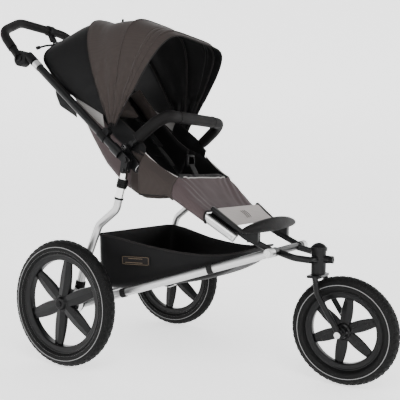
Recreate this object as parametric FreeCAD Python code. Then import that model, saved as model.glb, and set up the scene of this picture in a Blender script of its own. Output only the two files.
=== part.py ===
"""Three-wheeled jogging stroller, in millimetres.

X runs across the stroller, the front faces -Y and Z is up.  The origin is on the floor,
midway between the foremost point of the front tyre and the rearmost point of the handle.
Side points are written for the +X side and mirrored to the other.
"""
import FreeCAD, Part
import math
import os

from FreeCAD import Vector

# Driving dimensions
REAR_AXLE_Y = 266.0
REAR_WHEEL_R = 200.0
REAR_TYRE_R = 24.0
HALF_TRACK = 315.0
FRONT_AXLE_Y = -539.0
FRONT_WHEEL_R = 160.0
FRONT_TYRE_R = 28.0
SWIVEL_Y = -457.0
FRAME_TUBE_R = 12.5
UPPER_TUBE_R = 13.0
TUBE_WALL = 1.6
BOLT_R = 5.0
RUNNING_GAP = 0.05

# Joint centres in the side view
HINGE_YZ = (86.0, 652.0)
KNEE_YZ = (93.0, 620.0)
LOWER_PIVOT_YZ = (-355.0, 386.0)
ADJUSTER_YZ = (532.0, 998.0)
BUMPER_YZ = (108.0, 690.0)
CANOPY_YZ = (160.0, 740.0)
RECLINE_YZ = (120.0, 556.0)

REAR_AXLE_YZ = (REAR_AXLE_Y, REAR_WHEEL_R)
FRONT_AXLE_YZ = (FRONT_AXLE_Y, FRONT_WHEEL_R)

# Planes across the width, from the centre outwards
SEAT_HALF = 190.0
BUMPER_ARM_X = 196.0
KNUCKLE_X = (203.0, 215.0)
CLEVIS_X = ((216.5, 220.5), (235.5, 239.5))
FRONT_BOW_X = 216.4
MID_BOW_X = 218.6
REAR_BOW_X = 220.8
BOW_THICK = 1.6
LEG_X = 228.0
UPPER_TUBE_X = 235.0
AXLE_BLOCK_X = 250.0

# Side lines of the frame
UPPER_TUBE_DEG = 40.3
UPPER_TUBE_START = 30.0
UPPER_TUBE_END = 533.0
FRONT_TUBE = (Vector(209, 58, 627), Vector(146, -251, 423))
RAIL = (Vector(140, -172, 500), Vector(108, -269, 425), Vector(100, -345, 392))
LOWER_TUBE = (Vector(AXLE_BLOCK_X, 240, 189), Vector(127, -340, 381))
LEG = (Vector(LEG_X, 101, 589), Vector(LEG_X, 126, 497), Vector(229, 196, 444),
       Vector(240, 254, 290), Vector(246, 265, 226))

# Canopy, as angles above +Y about the canopy joint
REAR_BOW_DEG = 65.7
MID_BOW_DEG = 95.3
FRONT_BOW_DEG = 117.6
VISOR_DEG = 129.0
REAR_HEM_DEG = 41.5
REAR_BOW_R = 440.0
MID_BOW_R = 392.0
FRONT_BOW_R = 372.0
BOW_HALF_WIDTH = 6.0

# Seat back, as the line of its rear face
SEAT_BACK_FOOT = (143.0, 589.0)
SEAT_BACK_TOP = (392.0, 906.0)
SEAT_BACK_THICK = 34.0

# Handlebar and brake lever
HANDLE_CROSS_Y = 679.0
HANDLE_CROSS_Z = 1163.0
HANDLE_PATH = (Vector(246.5, 546, 1011), Vector(238, 634, 1100), Vector(112, HANDLE_CROSS_Y, HANDLE_CROSS_Z),
               Vector(-112, HANDLE_CROSS_Y, HANDLE_CROSS_Z), Vector(-238, 634, 1100), Vector(-246.5, 546, 1011))
HANDLE_BEND_R = 95.0
BRAKE_X = 40.0
LEVER_YZ = (660.0, 1124.0)
CABLE_R = 3.0
CABLE_ROUTE = (Vector(BRAKE_X + 12.5, 658, 1122), Vector(82, 646, 1114), Vector(122, 636, 1112),
               Vector(162, 633, 1110), Vector(200, 624, 1095), Vector(219.5, 611.5, 1080))

X_AXIS = Vector(1, 0, 0)
Y_AXIS = Vector(0, 1, 0)
Z_AXIS = Vector(0, 0, 1)


def side_point(yz, x=0.0):
    return Vector(x, yz[0], yz[1])


def rod(start, end, radius):
    """A round bar between two points."""
    line = end - start
    return Part.makeCylinder(radius, line.Length, start, line)


def x_rod(yz, x_from, x_to, radius):
    """A round bar along X at a side-view point."""
    return Part.makeCylinder(radius, x_to - x_from, side_point(yz, x_from), X_AXIS)


def ring_face(centre, normal, outer, inner):
    face = Part.Face(Part.Wire(Part.makeCircle(outer, centre, normal)))
    if inner > 0:
        face = face.cut(Part.Face(Part.Wire(Part.makeCircle(inner, centre, normal)))).Faces[0]
    return face


def bent_tube(points, outer, inner, bend_radius):
    """A tube of straight runs and tangent arcs, as one solid."""
    pieces = []
    start = points[0]
    for before, corner, after in zip(points, points[1:], points[2:]):
        in_dir = (corner - before).normalize()
        out_dir = (after - corner).normalize()
        turn = in_dir.getAngle(out_dir)
        setback = bend_radius * math.tan(turn / 2)
        arc_start = corner - in_dir * setback
        pieces.append(ring_face(start, in_dir, outer, inner).extrude(arc_start - start))
        axis = in_dir.cross(out_dir).normalize()
        centre = arc_start + axis.cross(in_dir) * bend_radius
        arc_face = ring_face(arc_start, in_dir, outer, inner)
        pieces.append(arc_face.revolve(centre, axis, math.degrees(turn)))
        start = corner + out_dir * setback
    last_dir = points[-1] - start
    pieces.append(ring_face(start, last_dir, outer, inner).extrude(last_dir))
    return pieces[0].multiFuse(pieces[1:]).removeSplitter()


def plate(outline_yz, x_from, x_to):
    """A flat plate square to X, from its side-view outline."""
    points = [side_point(point, x_from) for point in outline_yz]
    face = Part.Face(Part.makePolygon(points + points[:1]))
    return face.extrude(X_AXIS * (x_to - x_from))


def link_plate(yz_a, yz_b, radius_a, radius_b, x_from, x_to):
    """A plate with a round end about each of two side-view points."""
    a, b = side_point(yz_a, x_from), side_point(yz_b, x_from)
    along = (b - a).normalize()
    across = X_AXIS.cross(along)
    corners = [a + across * radius_a, b + across * radius_b, b - across * radius_b, a - across * radius_a]
    web = Part.Face(Part.makePolygon(corners + corners[:1])).extrude(X_AXIS * (x_to - x_from))
    ends = [x_rod(yz_a, x_from, x_to, radius_a), x_rod(yz_b, x_from, x_to, radius_b)]
    return web.multiFuse(ends).removeSplitter()


def box(low, high):
    return Part.makeBox(high[0] - low[0], high[1] - low[1], high[2] - low[2], Vector(*low))


def mirrored(shape):
    return shape.mirror(Vector(0, 0, 0), X_AXIS)


def both_sides(shape):
    return Part.Compound([shape, mirrored(shape)])


def grouped(*shapes):
    """Separate solids that share one node."""
    return Part.Compound([solid for shape in shapes for solid in shape.Solids])


def fused(first, *others):
    return first.multiFuse(list(others)).removeSplitter()


def offset_yz(yz, angle_deg, distance):
    angle = math.radians(angle_deg)
    return (yz[0] + distance * math.cos(angle), yz[1] + distance * math.sin(angle))


def on_upper_tube(distance):
    """A point on the axis of the upper tube, measured from the main hinge."""
    return side_point(offset_yz(HINGE_YZ, UPPER_TUBE_DEG, distance), UPPER_TUBE_X)


def tilted_slab(start_yz, end_yz, half_width, thickness, end_half_width=None):
    """A flat pad between two side-view points, thickened towards its upper side."""
    end_half_width = end_half_width or half_width
    start, end = side_point(start_yz), side_point(end_yz)
    across = X_AXIS.cross(end - start).normalize()
    if across.z < 0:
        across = -across
    corners = [start - X_AXIS * half_width, start + X_AXIS * half_width,
               end + X_AXIS * end_half_width, end - X_AXIS * end_half_width]
    return Part.Face(Part.makePolygon(corners + corners[:1])).extrude(across * thickness)


# ---------------------------------------------------------------- wheels

def tyre(centre, wheel_r, section_r, bead_r):
    """A hollow tyre: an oval section with a flat bead seat, turned about X."""
    crown = Vector(centre.x, centre.y, centre.z + wheel_r)
    depth = wheel_r - bead_r
    bead_half = section_r * 0.6
    shoulder_z = centre.z + wheel_r - section_r
    inner_z = centre.z + bead_r
    left = Vector(centre.x - section_r, centre.y, shoulder_z)
    right = Vector(centre.x + section_r, centre.y, shoulder_z)
    bead_left = Vector(centre.x - bead_half, centre.y, inner_z)
    bead_right = Vector(centre.x + bead_half, centre.y, inner_z)
    low_left = Vector(centre.x - section_r * 0.95, centre.y, inner_z + depth * 0.3)
    low_right = Vector(centre.x + section_r * 0.95, centre.y, inner_z + depth * 0.3)
    edges = [Part.Arc(left, crown, right).toShape(), Part.Arc(right, low_right, bead_right).toShape(),
             Part.makeLine(bead_right, bead_left), Part.Arc(bead_left, low_left, left).toShape()]
    outer = Part.Face(Part.Wire(edges)).revolve(centre, X_AXIS, 360)
    air_r = min(section_r, depth / 2) - 5
    air_ring = Part.makeTorus(wheel_r - depth / 2, air_r, centre, X_AXIS)
    return outer.cut(air_ring)


def blade(centre, root_r, tip_r, half_width, thickness):
    """One lens-shaped wheel blade, pointing up from the wheel centre."""
    root_half, tip_half = half_width * 0.55, half_width * 0.7
    mid = (root_r + tip_r) / 2
    x = centre.x - thickness / 2
    low_a = Vector(x, centre.y - root_half, centre.z + root_r)
    low_b = Vector(x, centre.y + root_half, centre.z + root_r)
    top_a = Vector(x, centre.y - tip_half, centre.z + tip_r)
    top_b = Vector(x, centre.y + tip_half, centre.z + tip_r)
    mid_a = Vector(x, centre.y - half_width, centre.z + mid)
    mid_b = Vector(x, centre.y + half_width, centre.z + mid)
    edges = [Part.makeLine(low_a, low_b), Part.Arc(low_b, mid_b, top_b).toShape(),
             Part.makeLine(top_b, top_a), Part.Arc(top_a, mid_a, low_a).toShape()]
    return Part.Face(Part.Wire(edges)).extrude(X_AXIS * thickness)


def bladed_wheel(centre, rim_in, rim_out, rim_width, hub_r, hub_width, bore_r, blade_half):
    """A moulded wheel: rim, six blades and a bored hub, as one solid."""
    rim_start = centre - X_AXIS * (rim_width / 2)
    rim = Part.makeCylinder(rim_out, rim_width, rim_start, X_AXIS)
    rim = rim.cut(Part.makeCylinder(rim_in, rim_width, rim_start, X_AXIS))
    hub_start = centre - X_AXIS * (hub_width / 2)
    hub = Part.makeCylinder(hub_r, hub_width, hub_start, X_AXIS)
    blades = []
    for index in range(6):
        one = blade(centre, hub_r * 0.7, rim_in + 4, blade_half, rim_width * 0.35)
        one.rotate(centre, X_AXIS, index * 60)
        blades.append(one)
    wheel = hub.multiFuse(blades + [rim])
    return wheel.cut(Part.makeCylinder(bore_r, hub_width, hub_start, X_AXIS))


def rear_wheel_nodes():
    """Tyre, wheel, brake drum and release button of the +X side."""
    centre = Vector(HALF_TRACK, REAR_AXLE_Y, REAR_WHEEL_R)
    bead_r = 155.0
    bore_r = 6.0 + RUNNING_GAP
    hub_face_x = HALF_TRACK + 21.0
    wheel = bladed_wheel(centre, 135.0, bead_r, 30.0, 24.0, 42.0, bore_r, 17.0)
    button_pocket = x_rod(REAR_AXLE_YZ, hub_face_x - 6.0, hub_face_x, 9.3)
    drum_from, drum_to = HALF_TRACK - 40.0, HALF_TRACK - 22.0
    drum = x_rod(REAR_AXLE_YZ, drum_from, drum_to, 45.0)
    return {
        "rear_tyre": tyre(centre, REAR_WHEEL_R, REAR_TYRE_R, bead_r),
        "rear_wheel": wheel.cut(button_pocket),
        "brake_drum": drum.cut(x_rod(REAR_AXLE_YZ, drum_from, drum_to, bore_r)),
        "axle_button": x_rod(REAR_AXLE_YZ, hub_face_x - 3.5, hub_face_x + 2.5, 9.0),
    }


def front_wheel_nodes():
    centre = Vector(0, FRONT_AXLE_Y, FRONT_WHEEL_R)
    bead_r = 112.0
    axle_r = 5.0
    return {
        "front_tyre": tyre(centre, FRONT_WHEEL_R, FRONT_TYRE_R, bead_r),
        "front_wheel": bladed_wheel(centre, 92.0, bead_r, 34.0, 20.0, 80.0, axle_r + RUNNING_GAP, 13.0),
    }


# ---------------------------------------------------------------- front frame

def front_tube():
    return bent_tube(FRONT_TUBE, FRAME_TUBE_R, FRAME_TUBE_R - TUBE_WALL, 0).cut(rail_bolt())


def front_rail():
    rail = bent_tube(RAIL, 9.5, 0, 60.0)
    lug = x_rod(LOWER_PIVOT_YZ, 88.0, 111.5, 14.0)
    lug_hole = x_rod(LOWER_PIVOT_YZ, 88.0, 111.5, BOLT_R)
    return fused(rail, lug).cut(lug_hole)


def yoke():
    """Crossbar between the rail lugs, two curved arms and the swivel housing, in one casting."""
    lug_yz = LOWER_PIVOT_YZ
    crossbar = x_rod(lug_yz, -87.5, 87.5, 11.0)
    arm_points = [Vector(74, lug_yz[0] - 4, lug_yz[1] - 2), Vector(82, -412, 372),
                  Vector(46, -448, 364), Vector(8, SWIVEL_Y, 362)]
    arm = bent_tube(arm_points, 10.0, 0, 24.0)
    housing = Part.makeCylinder(22, 80, Vector(0, SWIVEL_Y, 319), Z_AXIS)
    collar = Part.makeCylinder(25, 10, Vector(0, SWIVEL_Y, 389), Z_AXIS)
    knob_boss = Part.makeCylinder(12, 16, Vector(0, SWIVEL_Y - 16, 364), -Y_AXIS)
    body = fused(crossbar, arm, mirrored(arm), housing, collar, knob_boss)
    bore = Part.makeCylinder(15, 81, Vector(0, SWIVEL_Y, 318.5), Z_AXIS)
    knob_bore = Part.makeCylinder(4.2, 40, Vector(0, SWIVEL_Y - 5, 364), -Y_AXIS)
    return body.cut(bore).cut(knob_bore)


def swivel_bushes():
    bushes = []
    for z in (319.0, 387.0):
        outer = Part.makeCylinder(15, 12, Vector(0, SWIVEL_Y, z), Z_AXIS)
        bushes.append(outer.cut(Part.makeCylinder(12.5 + RUNNING_GAP, 12, Vector(0, SWIVEL_Y, z), Z_AXIS)))
    return Part.Compound(bushes)


def housing_cap():
    dome = Part.makeSphere(26, Vector(0, SWIVEL_Y, 386))
    above = box((-40, SWIVEL_Y - 40, 399), (40, SWIVEL_Y + 40, 430))
    return dome.common(above)


def hinge_knuckle():
    """Plate that carries the front tube, the main hinge and the bumper bar pivot."""
    x_from, x_to = KNUCKLE_X
    arm = link_plate(HINGE_YZ, (58.0, 627.0), 17.0, 15.0, x_from, x_to)
    ear = link_plate(HINGE_YZ, BUMPER_YZ, 15.0, 13.0, x_from, x_to)
    body = fused(arm, ear)
    body = body.cut(x_rod(HINGE_YZ, x_from, x_to, BOLT_R))
    body = body.cut(rod(FRONT_TUBE[0], FRONT_TUBE[1], FRAME_TUBE_R))
    return body.cut(x_rod(BUMPER_YZ, x_from, x_to, BOLT_R))


def hinge_bolt():
    """Main hinge bolt: shank through the knuckle and the inner hinge plate."""
    shank = x_rod(HINGE_YZ, 199.0, 220.5, BOLT_R)
    head = x_rod(HINGE_YZ, 197.5, 203.0, 8.0)
    return fused(shank, head)


def bumper_pin():
    shank = x_rod(BUMPER_YZ, 189.0, 215.5, BOLT_R)
    head = x_rod(BUMPER_YZ, 215.0, 216.0, 8.5)
    return fused(shank, head)


def pivot_bolt():
    shank = x_rod(LOWER_PIVOT_YZ, 90.0, 140.0, BOLT_R)
    head = x_rod(LOWER_PIVOT_YZ, 140.0, 144.5, 9.5)
    return fused(shank, head)


def rail_bolt():
    """Bolt that joins the end of the front side tube to the rail."""
    at_yz = (-243.0, 428.5)
    return x_rod(at_yz, 117.0, 165.0, 4.0)


def footrest_panel():
    return tilted_slab((-250, 462), (-188, 508), 140.0, 3.0, 148.0)


def foot_pad():
    """Curved heel rest: a deep arc across the rails, higher at its ends."""
    centre_y, outer_r, inner_r = 40.0, 372.0, 322.0
    ring = Part.makeCylinder(outer_r, 20, Vector(0, centre_y, 0), Z_AXIS)
    ring = ring.cut(Part.makeCylinder(inner_r, 20, Vector(0, centre_y, 0), Z_AXIS))
    ring = ring.common(box((-172, -400, -5), (172, -225, 25)))
    ring.rotate(Vector(0, -300, 0), X_AXIS, 18)
    ring.translate(Vector(0, 0, 447))
    return ring


def pad_bracket():
    return box((100, -312, 411), (118, -276, 442)).cut(
        rod(RAIL[1], RAIL[2], 9.6)).cut(rod(RAIL[0], RAIL[1], 9.6))


def seat_base():
    """Seat tub: a padded floor with a low wall on each side."""
    floor = plate([(96, 556), (62, 533), (-64, 545), (-80, 578), (-62, 600), (84, 566)],
                  -SEAT_HALF + 8, SEAT_HALF - 8)
    wall = plate([(58, 640), (62, 533), (-64, 545), (-80, 578), (-66, 604)], SEAT_HALF - 8, SEAT_HALF)
    tube_room = rod(FRONT_TUBE[0], FRONT_TUBE[1], FRAME_TUBE_R + 1)
    return fused(floor, wall, mirrored(wall)).cut(tube_room).cut(mirrored(tube_room))


def calf_apron():
    return tilted_slab((-166, 508), (-84, 572), 150.0, 5.0, 162.0)


def crotch_strap():
    return box((-18, -8, 587.5), (18, -4, 662))


def harness_buckle():
    return box((-26, -14, 662.2), (26, 2, 703))


# ---------------------------------------------------------------- fork

def fork_stem():
    foot = Vector(0, SWIVEL_Y, 310.5)
    length = 87.5
    return Part.makeCylinder(12.5, length, foot, Z_AXIS).cut(Part.makeCylinder(9.5, length, foot, Z_AXIS))


def fork():
    crown = box((-44, SWIVEL_Y - 18, 310.5), (44, SWIVEL_Y + 20, 318))
    crown = crown.cut(Part.makeCylinder(12.5, 12, Vector(0, SWIVEL_Y, 308), Z_AXIS))
    leg = bent_tube([Vector(42, SWIVEL_Y - 4, 316), Vector(47, SWIVEL_Y - 14, 268),
                     Vector(52, FRONT_AXLE_Y, FRONT_WHEEL_R)], 8.5, 0, 60.0)
    dropout = x_rod(FRONT_AXLE_YZ, 42.0, 58.0, 13.0)
    leg = fused(leg, dropout).cut(x_rod(FRONT_AXLE_YZ, 42.0, 62.0, 5.0))
    leg = leg.cut(x_rod(FRONT_AXLE_YZ, 38.0, 42.0, 20.0))
    return fused(crown, leg, mirrored(leg))


def front_axle():
    shaft = x_rod(FRONT_AXLE_YZ, -66.0, 66.0, 5.0)
    nut = x_rod(FRONT_AXLE_YZ, 60.8, 67.5, 9.0)
    return fused(shaft, nut, mirrored(nut))


def swivel_knob():
    grip = Part.makeCylinder(11, 12, Vector(0, SWIVEL_Y - 32.5, 364), -Y_AXIS)
    pin = Part.makeCylinder(4.1, 20, Vector(0, SWIVEL_Y - 17, 364), -Y_AXIS)
    return fused(grip, pin)


# ---------------------------------------------------------------- upper frame

def upper_tube_core():
    """The room taken by the upper tube, filled."""
    return rod(on_upper_tube(UPPER_TUBE_START), on_upper_tube(UPPER_TUBE_END), UPPER_TUBE_R)


def upper_tube():
    inside = rod(on_upper_tube(UPPER_TUBE_START), on_upper_tube(UPPER_TUBE_END), UPPER_TUBE_R - TUBE_WALL)
    return upper_tube_core().cut(inside)


def hinge_plates():
    """Clevis about the knee of the rear leg, with the socket of the upper tube."""
    plates = []
    for x_from, x_to in CLEVIS_X:
        lower = link_plate(HINGE_YZ, KNEE_YZ, 13.0, 11.0, x_from, x_to)
        upper = link_plate(HINGE_YZ, offset_yz(HINGE_YZ, UPPER_TUBE_DEG, 36.0), 13.0, 13.0, x_from, x_to)
        plates.append(fused(lower, upper))
    socket = rod(on_upper_tube(26.0), on_upper_tube(64.0), UPPER_TUBE_R + 3)
    body = fused(socket, *plates).cut(upper_tube_core())
    return body.cut(x_rod(HINGE_YZ, 216.0, 221.0, BOLT_R + RUNNING_GAP))


def plate_bolts():
    return grouped(x_rod(HINGE_YZ, 239.5, 244.0, 9.0), x_rod(KNEE_YZ, 239.5, 243.0, 6.0))


def adjuster_inner():
    """Fixed half of the handle adjuster: a disc with a socket for the upper tube."""
    disc = x_rod(ADJUSTER_YZ, 222.0, 233.5, 27.0)
    socket = rod(on_upper_tube(UPPER_TUBE_END - 24), on_upper_tube(UPPER_TUBE_END + 15), UPPER_TUBE_R + 2.5)
    turning_half = x_rod(ADJUSTER_YZ, 233.5, 262.0, 28.5)
    return fused(disc, socket.cut(turning_half)).cut(upper_tube_core())


def tube_clamp():
    """Plain band round the upper tube below the adjuster."""
    start, end = on_upper_tube(UPPER_TUBE_END - 54), on_upper_tube(UPPER_TUBE_END - 30)
    return rod(start, end, UPPER_TUBE_R + 1.8).cut(upper_tube_core())


def hoop_band(plane_deg, half_width, crest_r, thickness):
    """The outline of a canopy hoop in its own plane, as a flat face."""
    origin = side_point(CANOPY_YZ)
    angle = math.radians(plane_deg)
    out = Vector(0, math.cos(angle), math.sin(angle))

    def outline(width, crest):
        """Two straight legs joined by half an ellipse."""
        straight = crest * 0.62
        centre = origin + out * straight
        side, top = centre + X_AXIS * width, origin + out * crest
        if width >= crest - straight:
            ellipse = Part.Ellipse(side, top, centre)
            arch = Part.ArcOfEllipse(ellipse, 0, math.pi)
        else:
            ellipse = Part.Ellipse(top, side, centre)
            arch = Part.ArcOfEllipse(ellipse, -math.pi / 2, math.pi / 2)
        feet = [origin + X_AXIS * width + out * 24.0, origin - X_AXIS * width + out * 24.0]
        legs = [Part.makeLine(feet[0], side), Part.makeLine(centre - X_AXIS * width, feet[1])]
        return [legs[0], arch.toShape(), legs[1]], feet

    outer, outer_feet = outline(half_width, crest_r)
    inner, inner_feet = outline(half_width - thickness, crest_r - thickness)
    soles = [Part.makeLine(a, b) for a, b in zip(outer_feet, inner_feet)]
    return Part.Face(Part.Wire(Part.__sortEdges__(outer + inner + soles)))


def hoop_normal(plane_deg):
    angle = math.radians(plane_deg)
    return Vector(0, -math.sin(angle), math.cos(angle))


def bow(plane_deg, crest_r, outer_x):
    """A flat spring bow standing in its hoop plane, with an eye at each foot."""
    normal = hoop_normal(plane_deg)
    face = hoop_band(plane_deg, outer_x, crest_r, BOW_THICK)
    face.translate(normal * -BOW_HALF_WIDTH)
    band = face.extrude(normal * (2 * BOW_HALF_WIDTH))
    eye = link_plate(CANOPY_YZ, offset_yz(CANOPY_YZ, plane_deg, 28.0), 9.0, BOW_HALF_WIDTH,
                     outer_x - BOW_THICK, outer_x)
    pin_hole = x_rod(CANOPY_YZ, -250.0, 250.0, 5.0 + RUNNING_GAP)
    return fused(band, eye, mirrored(eye)).cut(pin_hole)


def bow_room(plane_deg):
    """The slab that a bow needs between two canopy panels."""
    half = BOW_HALF_WIDTH + 0.5
    slab = box((-250, 0, -half), (250, 500, half))
    slab.rotate(Vector(0, 0, 0), X_AXIS, plane_deg)
    slab.translate(side_point(CANOPY_YZ))
    return slab


def canopy_panel(from_deg, to_deg, crest_r, outer_x):
    """Canopy cloth between two bows, swept about the canopy joint."""
    face = hoop_band(from_deg, outer_x, crest_r, 2.0)
    swept = face.revolve(side_point(CANOPY_YZ), X_AXIS, to_deg - from_deg)
    return swept.cut(bow_room(from_deg)).cut(bow_room(to_deg))


def canopy_nodes():
    """Three bows and the cloth panels behind, between and ahead of them."""
    return {
        "rear_bow": bow(REAR_BOW_DEG, REAR_BOW_R, REAR_BOW_X),
        "mid_bow": bow(MID_BOW_DEG, MID_BOW_R, MID_BOW_X),
        "front_bow": bow(FRONT_BOW_DEG, FRONT_BOW_R, FRONT_BOW_X),
        "canopy_rear_panel": canopy_panel(REAR_HEM_DEG, REAR_BOW_DEG, REAR_BOW_R, REAR_BOW_X + 0.8),
        "canopy_top_rear": canopy_panel(REAR_BOW_DEG, MID_BOW_DEG, REAR_BOW_R - 20, REAR_BOW_X),
        "canopy_top_front": canopy_panel(MID_BOW_DEG, FRONT_BOW_DEG, MID_BOW_R, MID_BOW_X),
        "visor": canopy_panel(FRONT_BOW_DEG, VISOR_DEG, FRONT_BOW_R, FRONT_BOW_X + 0.4),
    }


def canopy_clamp():
    """Clip round the upper tube that carries the canopy joint."""
    foot_at = 116.1
    barrel = rod(on_upper_tube(foot_at - 16), on_upper_tube(foot_at + 16), UPPER_TUBE_R + 3)
    post = x_rod(CANOPY_YZ, 226.0, 244.0, 13.0)
    hub_room = x_rod(CANOPY_YZ, 214.0, 225.8, 9.5)
    body = fused(barrel, post).cut(upper_tube_core()).cut(hub_room)
    return body.cut(x_rod(CANOPY_YZ, 220.0, 245.0, 5.0 + RUNNING_GAP))


def canopy_hub():
    """Turning half of the canopy joint, with the pin that carries the bows."""
    disc = x_rod(CANOPY_YZ, 221.4, 225.5, 9.0)
    pin = x_rod(CANOPY_YZ, FRONT_BOW_X - BOW_THICK, 243.0, 5.0)
    return fused(disc, pin)


# ---------------------------------------------------------------- seat back

def seat_back_yz(along, above):
    """A side-view point measured up the seat back and out from its rear face."""
    run_y, run_z = SEAT_BACK_TOP[0] - SEAT_BACK_FOOT[0], SEAT_BACK_TOP[1] - SEAT_BACK_FOOT[1]
    lean_deg = math.degrees(math.atan2(run_z, run_y))
    return offset_yz(offset_yz(SEAT_BACK_FOOT, lean_deg, along), lean_deg + 90, above)


def seat_back():
    back = tilted_slab(SEAT_BACK_FOOT, SEAT_BACK_TOP, SEAT_HALF, SEAT_BACK_THICK, 172.0)
    lip = tilted_slab(seat_back_yz(-40.0, 0.0), SEAT_BACK_FOOT, SEAT_HALF, 26.0)
    return fused(back, lip)


def shoulder_strap():
    above = SEAT_BACK_THICK + 0.1
    strap = tilted_slab(seat_back_yz(21.0, above), seat_back_yz(252.0, above), 18.0, 3.0)
    strap.translate(X_AXIS * 62)
    return strap


# ---------------------------------------------------------------- handlebar

def handle_tube():
    return bent_tube(HANDLE_PATH, 11.0, 9.4, HANDLE_BEND_R)


def handle_grip():
    ends = [HANDLE_PATH[0] + (HANDLE_PATH[1] - HANDLE_PATH[0]) * 0.28,
            HANDLE_PATH[-1] + (HANDLE_PATH[-2] - HANDLE_PATH[-1]) * 0.28]
    return bent_tube([ends[0]] + list(HANDLE_PATH[1:-1]) + [ends[1]], 16.0, 11.0, HANDLE_BEND_R)


def adjuster_outer():
    """Turning half of the handle adjuster, with the socket of the handle tube."""
    disc = x_rod(ADJUSTER_YZ, 234.0, 250.0, 27.0)
    start = HANDLE_PATH[0]
    end = start + (HANDLE_PATH[1] - start) * 0.22
    socket = rod(start - (end - start) * 0.5, end, 14.0)
    socket = socket.cut(box((200, 400, 900), (234, 700, 1200)))
    body = fused(disc, socket).cut(rod(start, HANDLE_PATH[1], 11.0))
    return body.cut(x_rod(ADJUSTER_YZ, 244.0, 265.0, 10.3))


def adjuster_button():
    return x_rod(ADJUSTER_YZ, 246.5, 253.0, 10.0)


def lever_clamp():
    """Band round the crossbar with the ears of the brake lever."""
    crossbar_yz = (HANDLE_CROSS_Y, HANDLE_CROSS_Z)
    grip_room = x_rod(crossbar_yz, BRAKE_X - 13, BRAKE_X + 13, 16.0)
    band = x_rod(crossbar_yz, BRAKE_X - 13, BRAKE_X + 13, 20.0)
    ears = []
    for x_from, x_to in ((BRAKE_X - 11, BRAKE_X - 6), (BRAKE_X + 6, BRAKE_X + 11)):
        ears.append(link_plate((671.0, 1144.0), LEVER_YZ, 7.0, 8.0, x_from, x_to))
    return fused(band, *ears).cut(grip_room).cut(lever_pin())


def lever_pin():
    return x_rod(LEVER_YZ, BRAKE_X - 12, BRAKE_X + 12, 3.0)


def brake_lever():
    """Short pull lever with a knob end, on its pivot eye."""
    eye = x_rod(LEVER_YZ, BRAKE_X - 5.5, BRAKE_X + 5.5, 8.0)
    blade_points = [side_point(LEVER_YZ, BRAKE_X), Vector(BRAKE_X, 656, 1108),
                    Vector(BRAKE_X - 32, 668, 1100), Vector(BRAKE_X - 62, 676, 1088)]
    arm = bent_tube(blade_points, 4.0, 0, 7.0)
    tip, heading = blade_points[-1], blade_points[-1] - blade_points[-2]
    knob = Part.makeCylinder(7.0, 13.0, tip - heading.normalize() * 4, heading)
    body = fused(arm, knob, eye)
    return body.cut(x_rod(LEVER_YZ, BRAKE_X - 7, BRAKE_X + 7, 3.0 + RUNNING_GAP))


def brake_cable():
    """Brake cable from the lever to the handle arm, in straight runs and tangent arcs."""
    pieces = []
    start = CABLE_ROUTE[0]
    for before, corner, after in zip(CABLE_ROUTE, CABLE_ROUTE[1:], CABLE_ROUTE[2:]):
        in_dir, out_dir = (corner - before).normalize(), (after - corner).normalize()
        setback = 0.45 * min((corner - before).Length, (after - corner).Length)
        turn = in_dir.getAngle(out_dir)
        bend_r = setback / math.tan(turn / 2)
        arc_start = corner - in_dir * setback
        axis = in_dir.cross(out_dir).normalize()
        centre = arc_start + axis.cross(in_dir) * bend_r
        section = ring_face(arc_start, in_dir, CABLE_R, 0)
        pieces.append(ring_face(start, in_dir, CABLE_R, 0).extrude(arc_start - start))
        pieces.append(section.revolve(centre, axis, math.degrees(turn)))
        start = corner + out_dir * setback
    last = CABLE_ROUTE[-1] - start
    pieces.append(ring_face(start, last, CABLE_R, 0).extrude(last))
    return pieces[0].multiFuse(pieces[1:])


# ---------------------------------------------------------------- bumper bar

def bumper_path(start_distance):
    """The line of the bar, from one arm round to the other."""
    pivot = side_point(BUMPER_YZ, BUMPER_ARM_X)
    corner = Vector(184, -18, 789)
    start = pivot + (corner - pivot).normalize() * start_distance
    return [start, corner, Vector(-corner.x, corner.y, corner.z), Vector(-start.x, start.y, start.z)]


def bumper_pad():
    """Padded front bar: two arms and a cross part with rounded corners."""
    return bent_tube(bumper_path(34.0), 18.0, 8.0, 42.0)


def bumper_core():
    """Steel bar inside the padding, flattened into an eye at each end."""
    core = bent_tube(bumper_path(20.0), 8.0, 0, 42.0)
    eye = link_plate(BUMPER_YZ, offset_yz(BUMPER_YZ, 141.8, 22.0), 11.0, 9.0, 191.0, 202.5)
    hole = x_rod(BUMPER_YZ, 185.0, 203.0, BOLT_R + RUNNING_GAP)
    return fused(core, eye, mirrored(eye)).cut(hole).cut(mirrored(hole))


# ---------------------------------------------------------------- lower frame

def lower_tube():
    return bent_tube(LOWER_TUBE, FRAME_TUBE_R, FRAME_TUBE_R - TUBE_WALL, 0)


def lower_eye():
    """Solid end fitting of the lower tube, turning on the pivot bolt."""
    eye = x_rod(LOWER_PIVOT_YZ, 113.0, 139.5, 14.0)
    plug = rod(LOWER_TUBE[1] + (LOWER_TUBE[0] - LOWER_TUBE[1]).normalize() * 30,
               LOWER_TUBE[1] - (LOWER_TUBE[0] - LOWER_TUBE[1]).normalize() * 6, FRAME_TUBE_R - TUBE_WALL)
    return fused(eye, plug).cut(x_rod(LOWER_PIVOT_YZ, 112.0, 140.0, BOLT_R + RUNNING_GAP))


def axle_tube():
    tube = x_rod(REAR_AXLE_YZ, -232.0, 232.0, 11.0)
    return tube.cut(x_rod(REAR_AXLE_YZ, -232.0, 232.0, 9.0))


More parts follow.
